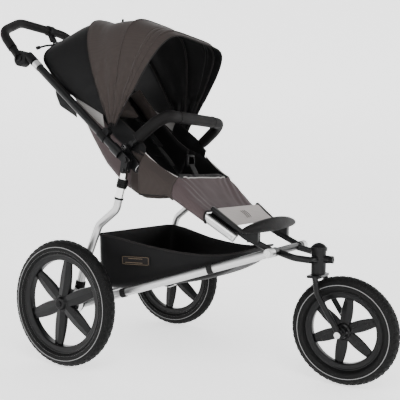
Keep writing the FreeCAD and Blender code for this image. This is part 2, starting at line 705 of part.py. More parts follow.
def axle_block():
    """Moulded block that joins the lower tube, the cross tube and the axle stub."""
    core = box((232, REAR_AXLE_Y - 32, 176), (262, REAR_AXLE_Y + 20, 220))
    core = core.makeFillet(6, core.Edges)
    plug = rod(LOWER_TUBE[0] + (LOWER_TUBE[0] - LOWER_TUBE[1]).normalize() * 6,
               LOWER_TUBE[0] - (LOWER_TUBE[0] - LOWER_TUBE[1]).normalize() * 30, FRAME_TUBE_R - TUBE_WALL)
    body = fused(core, plug)
    return body.cut(x_rod(REAR_AXLE_YZ, 230.0, 264.0, 6.0)).cut(
        rod(LOWER_TUBE[0], LOWER_TUBE[1], FRAME_TUBE_R).cut(
            rod(LOWER_TUBE[0], LOWER_TUBE[1], FRAME_TUBE_R - TUBE_WALL)))


def axle_stub():
    return x_rod(REAR_AXLE_YZ, 236.0, 328.0, 6.0)


def brake_plate():
    """Backing plate of the drum brake."""
    plate_disc = x_rod(REAR_AXLE_YZ, 264.0, 273.5, 42.0)
    return plate_disc.cut(x_rod(REAR_AXLE_YZ, 262.0, 276.0, 6.0))


def basket():
    """Cloth basket: a wedge-shaped tub between the lower tubes, open on top."""
    def plan(inset, z_from, z_to):
        rear_half, front_half = 218.0 - inset, 116.0 - inset
        rear_y, front_y = 226.0 - inset, -268.0 + inset
        corners = [Vector(rear_half, rear_y, z_from), Vector(-rear_half, rear_y, z_from),
                   Vector(-front_half, front_y, z_from), Vector(front_half, front_y, z_from)]
        return Part.Face(Part.makePolygon(corners + corners[:1])).extrude(Z_AXIS * (z_to - z_from))

    rim = [(240, 408), (150, 408), (60, 398), (-60, 366), (-280, 380)]
    bottom = [(-280, 352), (-178, 288), (-15, 256), (110, 226), (240, 226)]
    outer = plan(0, 150, 450).common(plate(rim + bottom, -260.0, 260.0))
    wall = 4.0
    floor = [(y, z + wall) for y, z in bottom]
    inner = plan(wall, 150, 450).common(plate([(240, 470), (-280, 470)] + floor, -260.0, 260.0))
    return outer.cut(inner)


# ---------------------------------------------------------------- rear legs

def on_leg(distance):
    """A point on the straight top run of the leg, measured from the upper end of its tube."""
    return LEG[0] + (LEG[1] - LEG[0]).normalize() * distance


def rear_leg():
    """Leg tube with its double bend."""
    return bent_tube(LEG, FRAME_TUBE_R, FRAME_TUBE_R - TUBE_WALL, 40.0)


def leg_sleeve():
    """Silver sleeve at the top of the leg, with the flat tongue of the knee."""
    outside = rod(on_leg(-6), on_leg(55), 13.4)
    tongue_end = (on_leg(-2).y, on_leg(-2).z)
    tongue = link_plate(KNEE_YZ, tongue_end, 9.0, 10.0, LEG_X - 6, LEG_X + 6)
    inside_tube = rod(on_leg(28), on_leg(58), FRAME_TUBE_R - TUBE_WALL)
    return fused(outside, tongue).cut(rear_leg()).cut(inside_tube)


def leg_ring():
    return rod(on_leg(56), on_leg(62), 14.6).cut(rod(on_leg(50), on_leg(70), FRAME_TUBE_R))


def leg_shoe():
    """Clamp at the foot of the leg, with an ear that turns on the axle tube."""
    up = (LEG[3] - LEG[4]).normalize()
    foot, top = LEG[4], LEG[4] + up * 34
    sleeve = rod(foot, top, 16.5)
    pad = box((227.5, REAR_AXLE_Y - 16, 222.8), (258, REAR_AXLE_Y + 14, 229))
    ear = link_plate(REAR_AXLE_YZ, (REAR_AXLE_Y - 1, 224.0), 16.0, 14.0, 227.5, 231.5)
    ear = ear.cut(x_rod(REAR_AXLE_YZ, 227.0, 232.0, 11.0 + RUNNING_GAP))
    return fused(sleeve, pad, ear).cut(rod(foot, LEG[3], FRAME_TUBE_R))


def lock_collar():
    """Sliding collar that locks the knee."""
    body = rod(on_leg(-4), on_leg(24), 16.4)
    ribs = [rod(on_leg(start), on_leg(start + 2.5), 17.4) for start in (2, 9, 16)]
    return fused(body, *ribs).cut(rod(on_leg(-10), on_leg(30), 13.7))


def all_nodes():
    nodes = {}
    moving_pairs = {"adjuster_button": adjuster_button(), "lock_collar": lock_collar()}
    moving_pairs.update(rear_wheel_nodes())
    for name, shape in moving_pairs.items():
        nodes[name + "_right"] = shape
        nodes[name + "_left"] = mirrored(shape)
    shared_pairs = {
        "front_tubes": [front_tube], "front_rails": [front_rail, pad_bracket],
        "hinge_knuckles": [hinge_knuckle], "frame_bolts": [hinge_bolt, bumper_pin, pivot_bolt, rail_bolt],
        "upper_tubes": [upper_tube], "hinge_plates": [hinge_plates, plate_bolts],
        "adjuster_inners": [adjuster_inner], "tube_clamps": [tube_clamp], "canopy_clamps": [canopy_clamp],
        "adjuster_outers": [adjuster_outer], "canopy_hubs": [canopy_hub],
        "lower_tubes": [lower_tube, lower_eye], "axle_blocks": [axle_block, brake_plate],
        "rear_legs": [rear_leg], "leg_sleeves": [leg_sleeve], "leg_fittings": [leg_ring, leg_shoe],
        "shoulder_straps": [shoulder_strap],
    }
    for name, builders in shared_pairs.items():
        nodes[name] = grouped(*[both_sides(builder()) for builder in builders])
    nodes["rear_axle"] = grouped(axle_tube(), both_sides(axle_stub()))
    nodes["crotch_harness"] = grouped(crotch_strap(), harness_buckle())
    nodes["lever_clamp"] = grouped(lever_clamp(), lever_pin())
    nodes.update(front_wheel_nodes())
    nodes.update(canopy_nodes())
    singles = {
        "yoke": yoke, "swivel_bushes": swivel_bushes, "housing_cap": housing_cap,
        "footrest_panel": footrest_panel, "foot_pad": foot_pad, "seat_base": seat_base,
        "calf_apron": calf_apron, "fork_stem": fork_stem, "fork": fork, "front_axle": front_axle,
        "swivel_knob": swivel_knob, "seat_back": seat_back, "handle_tube": handle_tube,
        "handle_grip": handle_grip, "brake_lever": brake_lever, "brake_cable": brake_cable,
        "bumper_pad": bumper_pad, "bumper_core": bumper_core, "basket": basket,
    }
    for name, builder in singles.items():
        nodes[name] = builder()
    return nodes


def main():
    os.makedirs("parts", exist_ok=True)
    for name, shape in sorted(all_nodes().items()):
        solids = shape.Solids
        volume = sum(solid.Volume for solid in solids)
        valid = all(solid.isValid() for solid in solids)
        print("%-22s solids %d valid %s volume %.0f" % (name, len(solids), valid, volume))
        shape.exportStep("parts/%s.step" % name)


main()
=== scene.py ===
"""Looks of the three-wheeled stroller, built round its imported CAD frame."""

import math

import bmesh
import bpy
from mathutils import Matrix, Vector, noise


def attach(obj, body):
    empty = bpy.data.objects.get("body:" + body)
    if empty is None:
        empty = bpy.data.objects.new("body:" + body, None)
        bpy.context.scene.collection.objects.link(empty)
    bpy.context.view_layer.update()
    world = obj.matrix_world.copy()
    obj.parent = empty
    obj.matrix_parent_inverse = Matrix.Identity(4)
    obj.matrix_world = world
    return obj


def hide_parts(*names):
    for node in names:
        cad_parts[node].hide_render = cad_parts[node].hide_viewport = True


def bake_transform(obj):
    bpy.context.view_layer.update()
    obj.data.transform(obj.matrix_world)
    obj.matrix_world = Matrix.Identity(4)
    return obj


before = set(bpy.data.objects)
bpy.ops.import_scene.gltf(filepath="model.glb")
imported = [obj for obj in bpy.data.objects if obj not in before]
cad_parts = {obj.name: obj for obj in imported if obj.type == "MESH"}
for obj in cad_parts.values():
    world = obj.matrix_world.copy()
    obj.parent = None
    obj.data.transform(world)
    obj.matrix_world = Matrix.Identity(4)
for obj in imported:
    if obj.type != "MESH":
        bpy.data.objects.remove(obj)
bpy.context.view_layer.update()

bl_info = {
    "name": "Jogging Stroller",
    "version": (1, 0, 0),
    "blender": (4, 5, 0),
    "location": "View3D > Sidebar > Stroller",
    "description": "Builds the wheels, cloth, pads and finishes of a three-wheeled stroller",
    "category": "Object",
}

MM = 0.001
X_AXIS = Vector((1, 0, 0))

# Side-view points of the frame, in millimetres
CANOPY_YZ = (160.0, 740.0)
FRONT_AXLE_YZ = (-539.0, 160.0)
REAR_AXLE_YZ = (266.0, 200.0)
REAR_TRACK_HALF = 315.0
SIDES = (("left", -1), ("right", 1))
REAR_BOW_DEG, MID_BOW_DEG, FRONT_BOW_DEG = 65.7, 95.3, 117.6


def at(x, y, z):
    """A point given in millimetres."""
    return Vector((x, y, z)) * MM


def flip(point, sign):
    """The point as it is for a sign of 1, or its mirror image on the other side for -1."""
    return Vector((sign * point.x, point.y, point.z))


def with_mirror(points):
    """A line up to the middle, carried on to the other side."""
    return points + [flip(point, -1) for point in reversed(points[:-1])]


def wave(t):
    """A bulge that starts and ends at nothing as t goes from 0 to 1."""
    return math.sin(math.pi * t)


# ---------------------------------------------------------------- materials

def set_input(links, socket, value):
    """Links a socket to a shade, or sets its value."""
    if isinstance(value, Shade):
        links.new(value.socket, socket)
    elif value is not None:
        socket.default_value = value


class Shade:
    """One output of a shader tree, with arithmetic that adds Math nodes."""

    def __init__(self, tree, socket):
        self.tree = tree
        self.socket = socket

    def node(self, kind, output=0, settings=None, **inputs):
        """Adds a node: its settings first, then the values or links of its sockets."""
        made = self.tree.nodes.new(kind)
        for key, value in (settings or {}).items():
            if key == "stops":
                for element, (place, colour) in zip(made.color_ramp.elements, value):
                    element.position = place
                    element.color = (*colour, 1.0)
            else:
                setattr(made, key, value)
        for key, value in inputs.items():
            place_in = int(key[1:]) if key[1:].isdigit() else key.replace("_", " ")
            set_input(self.tree.links, made.inputs[place_in], value)
        return Shade(self.tree, made.outputs[output])

    def math(self, operation, first, second=None):
        return self.node("ShaderNodeMath", settings={"operation": operation}, i0=first, i1=second)

    def __add__(self, other):
        return self.math("ADD", self, other)

    __radd__ = __add__

    def __mul__(self, other):
        return self.math("MULTIPLY", self, other)

    __rmul__ = __mul__

    def __sub__(self, other):
        return self.math("SUBTRACT", self, other)

    def __rsub__(self, other):
        return self.math("SUBTRACT", other, self)

    def mix(self, low, high):
        """Blends two colours by this value."""
        return self.node("ShaderNodeMix", output=2, settings={"data_type": "RGBA"},
                         i0=self, i6=low, i7=high)


def shader_start(name):
    """A new material, its principled shader and its object coordinates."""
    material = bpy.data.materials.new(name)
    material.use_nodes = True
    tree = material.node_tree
    shader = tree.nodes["Principled BSDF"]
    coords = Shade(tree, tree.nodes.new("ShaderNodeTexCoord").outputs["Object"])
    return material, shader, coords


def noise_at(coords, scale, detail=3.0, roughness=0.5, stretch=None):
    where = coords
    if stretch:
        where = coords.node("ShaderNodeMapping", Vector=coords, Scale=stretch)
    return coords.node("ShaderNodeTexNoise", Vector=where, Scale=scale, Detail=detail,
                       Roughness=roughness)


def connect(coords, shader, **values):
    """Sets or links the shader's sockets by name, with _ for a space."""
    for key, value in values.items():
        set_input(coords.tree.links, shader.inputs[key.replace("_", " ")], value)


def bump(coords, height, distance, strength=1.0):
    return coords.node("ShaderNodeBump", Height=height, Distance=distance, Strength=strength)


def four(colour, factor=1.0):
    return (*[min(1.0, channel * factor) for channel in colour], 1.0)


def metal_material(name, colour, roughness, stretch=(1, 1, 1)):
    """Anodised, polished or plated metal with fine drawn lines and small marks."""
    material, shader, coords = shader_start(name)
    cloud = noise_at(coords, 14.0)
    lines = noise_at(coords, 260.0, 2.0, 0.6, stretch)
    connect(coords, shader, Base_Color=cloud.mix(four(colour, 0.9), four(colour, 1.08)),
            Roughness=roughness + (lines - 0.5) * 0.18 + (cloud - 0.5) * 0.12,
            Metallic=1.0, Normal=bump(coords, lines, 0.0001, 0.5))
    return material


def plastic_material(name, colour, roughness, grain=900.0, depth=0.00012, coat=0.0,
                     gloss=0.1):
    """Moulded or painted black parts with a fine grain and faint wear."""
    material, shader, coords = shader_start(name)
    fine = noise_at(coords, grain, 2.0, 0.6)
    cloud = noise_at(coords, 9.0, 4.0)
    connect(coords, shader, Base_Color=cloud.mix(four(colour, 0.8), four(colour, 1.3)),
            Roughness=roughness + (cloud - 0.5) * 0.2, Coat_Weight=coat,
            Normal=bump(coords, fine, depth))
    shader.inputs["Specular IOR Level"].default_value = gloss
    return material


def rubber_material(name, colour, roughness):
    """Tyre rubber, dusty in the grain."""
    material, shader, coords = shader_start(name)
    dust = noise_at(coords, 30.0, 5.0, 0.65)
    fine = noise_at(coords, 700.0)
    connect(coords, shader, Base_Color=dust.mix(four(colour, 0.75), four(colour, 1.6)),
            Roughness=roughness + (dust - 0.5) * 0.25, Normal=bump(coords, fine, 0.0002, 0.6))
    shader.inputs["Specular IOR Level"].default_value = 0.1
    return material


def cloth_material(name, colour, roughness, sheen, thread=1500.0):
    """Woven cloth: two crossing sets of threads, uneven dye and soft creases."""
    material, shader, coords = shader_start(name)
    threads = []
    for direction in ("X", "Z"):
        threads.append(coords.node("ShaderNodeTexWave", output=1,
                                   settings={"bands_direction": direction}, Vector=coords,
                                   Scale=thread / 20.0, Distortion=1.2, Detail=1.0))
    weave = threads[0] * threads[1]
    dye = noise_at(coords, 22.0, 4.0, 0.6)
    crease = noise_at(coords, 9.0, 3.0, 0.45)
    tone = (dye - 0.5) * 0.16 + weave * 0.2 + 0.4
    height = weave * 0.3 + crease * 3.0
    connect(coords, shader, Base_Color=tone.mix(four(colour, 0.62), four(colour, 1.45)),
            Roughness=roughness + (dye - 0.5) * 0.15, Normal=bump(coords, height, 0.00025))
    shader.inputs["Specular IOR Level"].default_value = 0.12
    shader.inputs["Sheen Weight"].default_value = sheen
    shader.inputs["Sheen Roughness"].default_value = 0.4
    return material


def webbing_material(name, colour):
    """Ribbed strap webbing."""
    material, shader, coords = shader_start(name)
    rib = coords.node("ShaderNodeTexWave", output=1, settings={"bands_direction": "DIAGONAL"},
                      Vector=coords, Scale=140.0, Distortion=0.4, Detail=1.0)
    wear = noise_at(coords, 40.0, 3.0)
    connect(coords, shader, Base_Color=wear.mix(four(colour, 0.7), four(colour, 1.5)),
            Roughness=0.75 + (wear - 0.5) * 0.2, Normal=bump(coords, rib, 0.0004))
    shader.inputs["Specular IOR Level"].default_value = 0.2
    return material


MATERIALS = {}


def make_materials(look):
    """Every finish of the stroller, by name."""
    black = (0.0022, 0.0022, 0.0024)
    MATERIALS.update({
        "tube": metal_material("silver tube", look.tube_colour, 0.36, (1, 0.02, 0.02)),
        "sleeve": metal_material("polished sleeve", (0.86, 0.86, 0.85), 0.2),
        "steel": metal_material("plated steel", (0.6, 0.6, 0.6), 0.28),
        "paint": plastic_material("satin black paint", black, 0.34, 500.0, 0.00004, 0.02, 0.16),
        "moulding": plastic_material("moulded black", black, 0.5),
        "wheel": plastic_material("gloss black wheel", black, 0.3, 1200.0, 0.00003, 0.02, 0.16),
        "foam": rubber_material("foam grip", (0.0028, 0.0025, 0.0025), 0.6),
        "tyre": rubber_material("tyre rubber", (0.003, 0.003, 0.003), 0.55),
        "stripe": plastic_material("tyre stripe", (0.20, 0.20, 0.20), 0.4),
        "taupe": cloth_material("taupe cloth", look.canopy_colour, 0.75, 0.05),
        "mauve": cloth_material("mauve cloth", look.apron_colour, 0.7, 0.08),
        "black_cloth": cloth_material("black cloth", (0.0026, 0.0026, 0.0028), 0.55, 0.0),
        "lining": cloth_material("silver lining", (0.16, 0.155, 0.15), 0.5, 0.1, 1100.0),
        "panel": cloth_material("light panel", look.panel_colour, 0.6, 0.1),
        "binding": cloth_material("dark binding", (0.008, 0.007, 0.007), 0.7, 0.0),
        # Piping cord whose pale colour is partly a painted highlight along the seat's edges.
        "piping_and_highlight": cloth_material("piping with painted highlight", (0.30, 0.29, 0.28), 0.6, 0.1),
        "webbing": webbing_material("strap webbing", (0.005, 0.005, 0.005)),
        "stitch": cloth_material("tan stitching", (0.10, 0.075, 0.05), 0.6, 0.0),
        "motif": plastic_material("printed motif", (0.07, 0.065, 0.06), 0.6),
    })


# ---------------------------------------------------------------- mesh helpers

def give(bm, name, *materials, smooth=True):
    """Turns a bmesh into an object at the origin, with its finishes."""
    mesh = bpy.data.meshes.new(name)
    bm.to_mesh(mesh)
    bm.free()
    for material in materials:
        mesh.materials.append(MATERIALS[material])
    if smooth:
        mesh.shade_smooth()
    made = bpy.data.objects.new(name, mesh)
    bpy.context.scene.collection.objects.link(made)
    return made


def settle(piece, *modifiers):
    """Adds modifiers, given as (type, settings), and applies them."""
    for kind, settings in modifiers:
        modifier = piece.modifiers.new(kind.title(), kind)
        for key, value in settings.items():
            setattr(modifier, key, value)
    graph = bpy.context.evaluated_depsgraph_get()
    mesh = bpy.data.meshes.new_from_object(piece.evaluated_get(graph))
    piece.modifiers.clear()
    old = piece.data
    piece.data = mesh
    bpy.data.meshes.remove(old)
    return piece


def thicken(amount, offset=-1.0):
    return ("SOLIDIFY", {"thickness": amount * MM, "offset": offset, "use_even_offset": False})


def lined(amount):
    """A wall whose inner side takes the piece's second finish."""
    return ("SOLIDIFY", {"thickness": amount * MM, "offset": -1.0, "use_even_offset": False,
                         "material_offset": 1})


def soften(levels):
    return ("SUBSURF", {"levels": levels, "render_levels": levels})


def even(points, count):
    """The same line with evenly spaced points."""
    steps = [0.0]
    for a, b in zip(points, points[1:]):
        steps.append(steps[-1] + (b - a).length)
    out, k = [], 0
    for i in range(count):
        target = steps[-1] * i / (count - 1)
        while k < len(points) - 2 and steps[k + 1] < target:
            k += 1
        span = max(steps[k + 1] - steps[k], 1e-9)
        out.append(points[k].lerp(points[k + 1], (target - steps[k]) / span))
    return out


def smooth_line(points, count):
    """A rounded line through rough points."""
    line = even(points, count)
    for _ in range(max(1, count // (3 * len(points)))):
        inner = [(a + b * 2 + c) / 4 for a, b, c in zip(line, line[1:], line[2:])]
        line = [line[0], *inner, line[-1]]
    return line


def loft(bm, rows, closed=False):
    """Extrudes one row of edges through all the others, and returns the rows of vertices."""
    row = [bm.verts.new(point) for point in rows[0]]
    pairs = list(zip(row, row[1:])) + ([(row[-1], row[0])] if closed else [])
    edges = [bm.edges.new(pair) for pair in pairs]
    made_rows = [row]
    for points in rows[1:]:
        made = bmesh.ops.extrude_edge_only(bm, edges=edges)["geom"]
        fresh = {item for item in made if isinstance(item, bmesh.types.BMVert)}
        row = [next(e.other_vert(vert) for e in vert.link_edges if e.other_vert(vert) in fresh)
               for vert in row]
        for vert, point in zip(row, points):
            vert.co = point
        edges = [item for item in made if isinstance(item, bmesh.types.BMEdge)
                 and all(vert in fresh for vert in item.verts)]
        made_rows.append(row)
    return made_rows


def outwards(bm):
    """Merges doubles and turns the faces the same way."""
    bmesh.ops.remove_doubles(bm, verts=bm.verts, dist=1e-6)
    bmesh.ops.recalc_face_normals(bm, faces=bm.faces)


def surface(name, rows, *materials):
    """An open sheet through rows of points."""
    bm = bmesh.new()
    loft(bm, rows)
    outwards(bm)
    return give(bm, name, *materials)


def close_ends(bm, rings):
    bm.faces.new(list(reversed(rings[0])))
    bm.faces.new(rings[-1])


def closed_form(name, rings, material):
    """A closed body through rings of points."""
    bm = bmesh.new()
    close_ends(bm, loft(bm, rings, closed=True))
    outwards(bm)
    return give(bm, name, material)


def tube(name, points, radius, material, closed=False):
    """A round cord of cloth, plastic or metal along a smooth line."""
    curve = bpy.data.curves.new(name, "CURVE")
    curve.dimensions = "3D"
    spline = curve.splines.new("NURBS")
    spline.points.add(len(points) - 1)
    for place, point in zip(spline.points, points):
        place.co = (*point, 1.0)
    spline.order_u = 3
    spline.use_endpoint_u = not closed
    spline.use_cyclic_u = closed
    spline.resolution_u = 3
    curve.bevel_depth = radius * MM
    curve.bevel_resolution = 3
    curve.use_fill_caps = not closed
    holder = bpy.data.objects.new(name, curve)
    bpy.context.scene.collection.objects.link(holder)
    graph = bpy.context.evaluated_depsgraph_get()
    mesh = bpy.data.meshes.new_from_object(holder.evaluated_get(graph))
    bpy.data.objects.remove(holder)
    mesh.name = name
    mesh.materials.clear()
    mesh.materials.append(MATERIALS[material])
    mesh.shade_smooth()
    made = bpy.data.objects.new(name, mesh)
    bpy.context.scene.collection.objects.link(made)
    return made


def strap(name, points, width_axis, width, thickness, material):
    """A flat strap along a line, as wide as width along width_axis."""
    bm = bmesh.new()
    side = width_axis.normalized() * width * MM / 2
    loft(bm, [[p - side, p - side * 0.4, p + side * 0.4, p + side] for p in points])
    made = give(bm, name, material)
    edge = ("BEVEL", {"width": thickness * MM * 0.3, "segments": 2})
    return settle(made, thicken(thickness, 0.0), edge)


def spun(bm, profile, centre, steps):
    """Spins (x, r) points about the X axis through a centre, all in millimetres."""
    verts = [bm.verts.new(at(centre[0] + x, centre[1], centre[2] + r)) for x, r in profile]
    edges = [bm.edges.new(pair) for pair in zip(verts, verts[1:])]
    bmesh.ops.spin(bm, geom=verts + edges, cent=at(*centre), axis=X_AXIS, angle=math.tau,
                   steps=steps, use_merge=True, use_duplicate=False)


def inflate(piece, cap_mm, voxel=5.0, frames=18):
    """Fills a closed pad with air as cloth, holding every point within a few millimetres."""
    settle(piece, ("REMESH", {"mode": "VOXEL", "voxel_size": voxel * MM, "use_smooth_shade": True}))
    before = [v.co.copy() for v in piece.data.vertices]
    cloth = piece.modifiers.new("Cloth", "CLOTH")
    cloth.settings.use_pressure = True
    cloth.settings.uniform_pressure_force = 4.0
    cloth.settings.effector_weights.gravity = 0.0
    scene = bpy.context.scene
    for step in range(1, frames + 1):
        scene.frame_set(step)
    graph = bpy.context.evaluated_depsgraph_get()
    blown = [v.co.copy() for v in piece.evaluated_get(graph).data.vertices]
    piece.modifiers.clear()
    for vert, start, end in zip(piece.data.vertices, before, blown):
        move = end - start
        if move.length > cap_mm * MM:
            move = move.normalized() * cap_mm * MM
        vert.co = start + move
    scene.frame_set(1)
    return piece


def slab_pad(name, front, back, side, material, thickness, cap_mm):
    """A padded panel between a front and a back line, blown up as cloth."""
    rows = []
    for k in range(9):
        t = k / 8
        left, right = front[0].lerp(back[0], t), front[1].lerp(back[1], t)
        rows.append([left.lerp(right, j / 8) for j in range(9)])
    made = surface(name, rows, material)
    settle(made, ("SOLIDIFY", {"thickness": thickness * MM, "offset": side}))
    return inflate(made, cap_mm)


def place(piece, body, slot, *nodes):
    """Puts a piece on its body and hides the CAD nodes that it stands for. The slot is not used."""
    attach(piece, body)
    if nodes:
        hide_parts(*nodes)
    return piece


# ---------------------------------------------------------------- wheels

WHEEL_STEPS = 96


def tyre_piece(name, centre, radius, section, bead, tread):
    """A tyre with rounded walls and a block tread; its raised rings are separate pieces."""
    bm = bmesh.new()
    rise = radius - section
    outline = []
    for k in range(13):
        angle = math.pi * (k / 12)
        outline.append((-section * math.cos(angle), rise + section * math.sin(angle) ** 0.9))
    inner = bead + 3.0
    low = [(section * 0.99, rise - section * 0.35), (section * 0.8, inner + 4),
           (section * 0.62, inner)]
    spun(bm, [(-x, r) for x, r in reversed(low)] + outline + low, centre, WHEEL_STEPS)
    outwards(bm)
    blocks = []
    for face in bm.faces:
        offset = face.calc_center_median() / MM - Vector(centre)
        across = offset.x / section
        turn = round((math.atan2(offset.z, offset.y) / math.tau) * WHEEL_STEPS - 0.5)
        on_crown = math.hypot(offset.y, offset.z) > radius - section * 0.42
        if on_crown and abs(across) < 0.86 and (turn + round((across + 1) * 4)) % 2 == 0:
            blocks.append(face)
    bmesh.ops.inset_individual(bm, faces=blocks, thickness=0.0011, depth=0.0)
    bmesh.ops.inset_individual(bm, faces=blocks, thickness=0.0006, depth=tread)
    for face in bm.faces:
        offset = face.calc_center_median() / MM - Vector(centre)
        face.smooth = math.hypot(offset.y, offset.z) < radius - section * 0.45
    return give(bm, name, "tyre", smooth=False)


def ring_piece(name, centre, x, r, width=1.1):
    """A thin raised ring on a tyre's wall."""
    bm = bmesh.new()
    steps = [(x + width * 0.35 * math.cos(math.tau * k / 6),
              r + width * math.sin(math.tau * k / 6)) for k in range(6)]
    spun(bm, steps + steps[:1], centre, WHEEL_STEPS)
    outwards(bm)
    return give(bm, name, "stripe")


# A blade's outline, in parts of its half width and of its depth
BLADE_FRONT = ((-1, 0.0), (-0.86, 0.38), (-0.1, 0.5), (0, 0.56), (0.1, 0.5), (0.86, 0.38))
BLADE_SECTION = BLADE_FRONT + tuple((-across, -out) for across, out in BLADE_FRONT)


def wheel_blade(bm, centre, root, tip, half, thick):
    """A lens-shaped blade with a raised middle ridge on both faces, pointing up from the hub."""
    rows = []
    for k in range(9):
        t = k / 8
        r = root + (tip - root) * t
        belly = 0.45 + 0.75 * math.sin(math.pi * min(1.0, 0.06 + t * 0.62) ** 0.75)
        width = half * belly * (1.0 - 0.25 * t)
        depth = thick * (1.0 - 0.45 * t)
        rows.append([at(centre[0] + out * depth, centre[1] + across * width, centre[2] + r)
                     for across, out in BLADE_SECTION])
    made = loft(bm, rows, closed=True)
    close_ends(bm, made)
    return [vert for ring in made for vert in ring]


def wheel_piece(name, centre, rim_in, rim_out, rim_half, hub, hub_half, bore, blade_half,
                blade_thick):
    """A moulded wheel: a channelled rim, six ridged blades and a stepped hub."""
    bm = bmesh.new()
    rim = [(rim_half - 6, rim_in), (rim_half - 3, rim_in + 3), (rim_half - 2, rim_out - 6),
           (rim_half, rim_out - 4), (rim_half, rim_out)]
    rim = [(-x, r) for x, r in reversed(rim)] + rim + [(0.0, rim_out - 3), (-rim_half, rim_out)]
    spun(bm, rim, centre, WHEEL_STEPS)
    hub_line = [(hub_half * 0.45, hub), (hub_half * 0.55, hub * 0.78), (hub_half - 3, hub * 0.7),
                (hub_half, hub * 0.62), (hub_half, bore)]
    hub_line = [(-x, r) for x, r in reversed(hub_line)] + hub_line + [(-hub_half, bore)]
    spun(bm, hub_line, centre, WHEEL_STEPS // 2)
    for k in range(6):
        verts = wheel_blade(bm, centre, hub * 0.55, rim_in + 2, blade_half, blade_thick)
        turn = Matrix.Rotation(math.radians(60 * k + 8), 3, X_AXIS)
        bmesh.ops.rotate(bm, verts=verts, cent=at(*centre), matrix=turn)
    outwards(bm)
    edge = {"width": 0.0008, "segments": 2, "limit_method": "ANGLE", "angle_limit": 0.6}
    return settle(give(bm, name, "wheel"), ("BEVEL", edge))


def build_rings(stem, centre, body, rings):
    """Raised rings on both walls of a tyre, given as (x, r)."""
    for k, (x, r) in enumerate(rings):
        for face, sign in enumerate((-1, 1)):
            ring = ring_piece("%s_%d_%d" % (stem, k, face), centre, sign * x, r)
            place(ring, body, "tyre_rubber")


def build_wheels(look):
    for side, sign in (("right", 1), ("left", -1)):
        centre = (sign * REAR_TRACK_HALF, *REAR_AXLE_YZ)
        body = "rear_roller_" + side
        tyre = tyre_piece("rear_tread_" + side, centre, 198.5, 24, 155, look.tread_depth)
        place(tyre, body, "tyre_rubber", "rear_tyre_" + side)
        wheel = wheel_piece("rear_spokes_" + side, centre, 136, 158, 16, 27, 21, 6.6, 22, 22)
        place(wheel, body, "wheel_black", "rear_wheel_" + side)
        build_rings("rear_ring_" + side, centre, body, ((22.6, 166), (24.0, 178)))
    front = (0.0, *FRONT_AXLE_YZ)
    tyre = tyre_piece("front_tread", front, 158.5, 28, 112, look.tread_depth)
    place(tyre, "front_roller", "tyre_rubber", "front_tyre")
    wheel = wheel_piece("front_spokes", front, 96, 116, 15, 24, 40, 5.4, 17, 20)
    place(wheel, "front_roller", "wheel_black", "front_wheel")
    build_rings("front_ring", front, "front_roller", ((25.5, 124), (28.0, 136)))


# ---------------------------------------------------------------- canopy

def hoop_line(degrees, width, crest, count, low=30.0):
    """One line of the canopy over the seat, from foot to foot, at an angle about its joint."""
    angle = math.radians(degrees)
    out = Vector((0, math.cos(angle), math.sin(angle)))
    origin = at(0, *CANOPY_YZ)
    squareness = (degrees - REAR_BOW_DEG) / (FRONT_BOW_DEG - REAR_BOW_DEG)
    across, along = 2.7 + 3.1 * squareness, 2.6 + 1.2 * squareness
    points = []
    for k in range(181):
        turn = math.pi * k / 180
        x = width * math.copysign(abs(math.cos(turn)) ** (2 / across), -math.cos(turn))
        r = crest * max(math.sin(turn), 0.0) ** (2 / along)
        points.append(origin + X_AXIS * x * MM + out * max(r, low) * MM)
    return even(points, count)


def crumple(point, amount):
    """Moves cloth near the canopy joint in small folds."""
    offset = point - at(0, *CANOPY_YZ)
    distance = math.hypot(offset.y, offset.z) / MM
    near = max(0.0, min(1.0, (300.0 - distance) / 200.0))
    near *= max(0.0, min(1.0, (distance - 24.0) / 30.0))
    if abs(point.x) < 0.15:
        near = 0.0
    angle = math.atan2(offset.z, offset.y)
    fold = math.sin(angle * 26.0 + noise.noise(point * 22.0) * 2.6) * 0.55
    fold += noise.noise(point * 55.0) - 0.4
    return point + X_AXIS * math.copysign(1.0, point.x) * fold * near * amount


def cloth_line(look, *place_and_size, **extra):
    """A line of the canopy with the small folds near its joint."""
    return [crumple(point, look.fold_depth) for point in hoop_line(*place_and_size, **extra)]


# Each strip's lines: the angle about the canopy joint and the crest's distance from it
CANOPY_ROWS = {
    "canopy_strip_back": ((65.7, 450), (67.5, 441), (70, 424), (73.5, 404), (77, 394),
                          (80.5, 389), (84, 385), (88, 381), (92, 378), (94.4, 378), (95.3, 380)),
    "canopy_strip_front": ((95.3, 380), (96.2, 377), (99, 371), (103, 366), (107, 362.5),
                           (110.5, 361)),
    "canopy_brim": ((110.5, 361), (112.6, 361), (113.0, 359), (113.4, 361), (117.0, 361.5),
                    (117.6, 363.5), (118.2, 361.5), (121.0, 362), (123.2, 361)),
}
CANOPY_BODIES = {
    "canopy_strip_back": ("upper_frame", "canopy_mid", REAR_BOW_DEG, MID_BOW_DEG),
    "canopy_strip_front": ("canopy_mid", "canopy_front", MID_BOW_DEG, 110.5),
}
CANOPY_NODES = {"canopy_strip_back": "canopy_top_rear", "canopy_strip_front": "canopy_top_front",
                "canopy_brim": "visor"}
CLOTH_COUNT = 121
CLOTH_HALF = 215.0
HOOP_LENGTH = 1.04
LUNE_SHARE = 0.6


def finer(stations, parts):
    """The stations with others evenly between them."""
    out = [stations[0]]
    for a, b in zip(stations, stations[1:]):
        out += [tuple(p + (q - p) * k / parts for p, q in zip(a, b)) for k in range(1, parts + 1)]
    return out


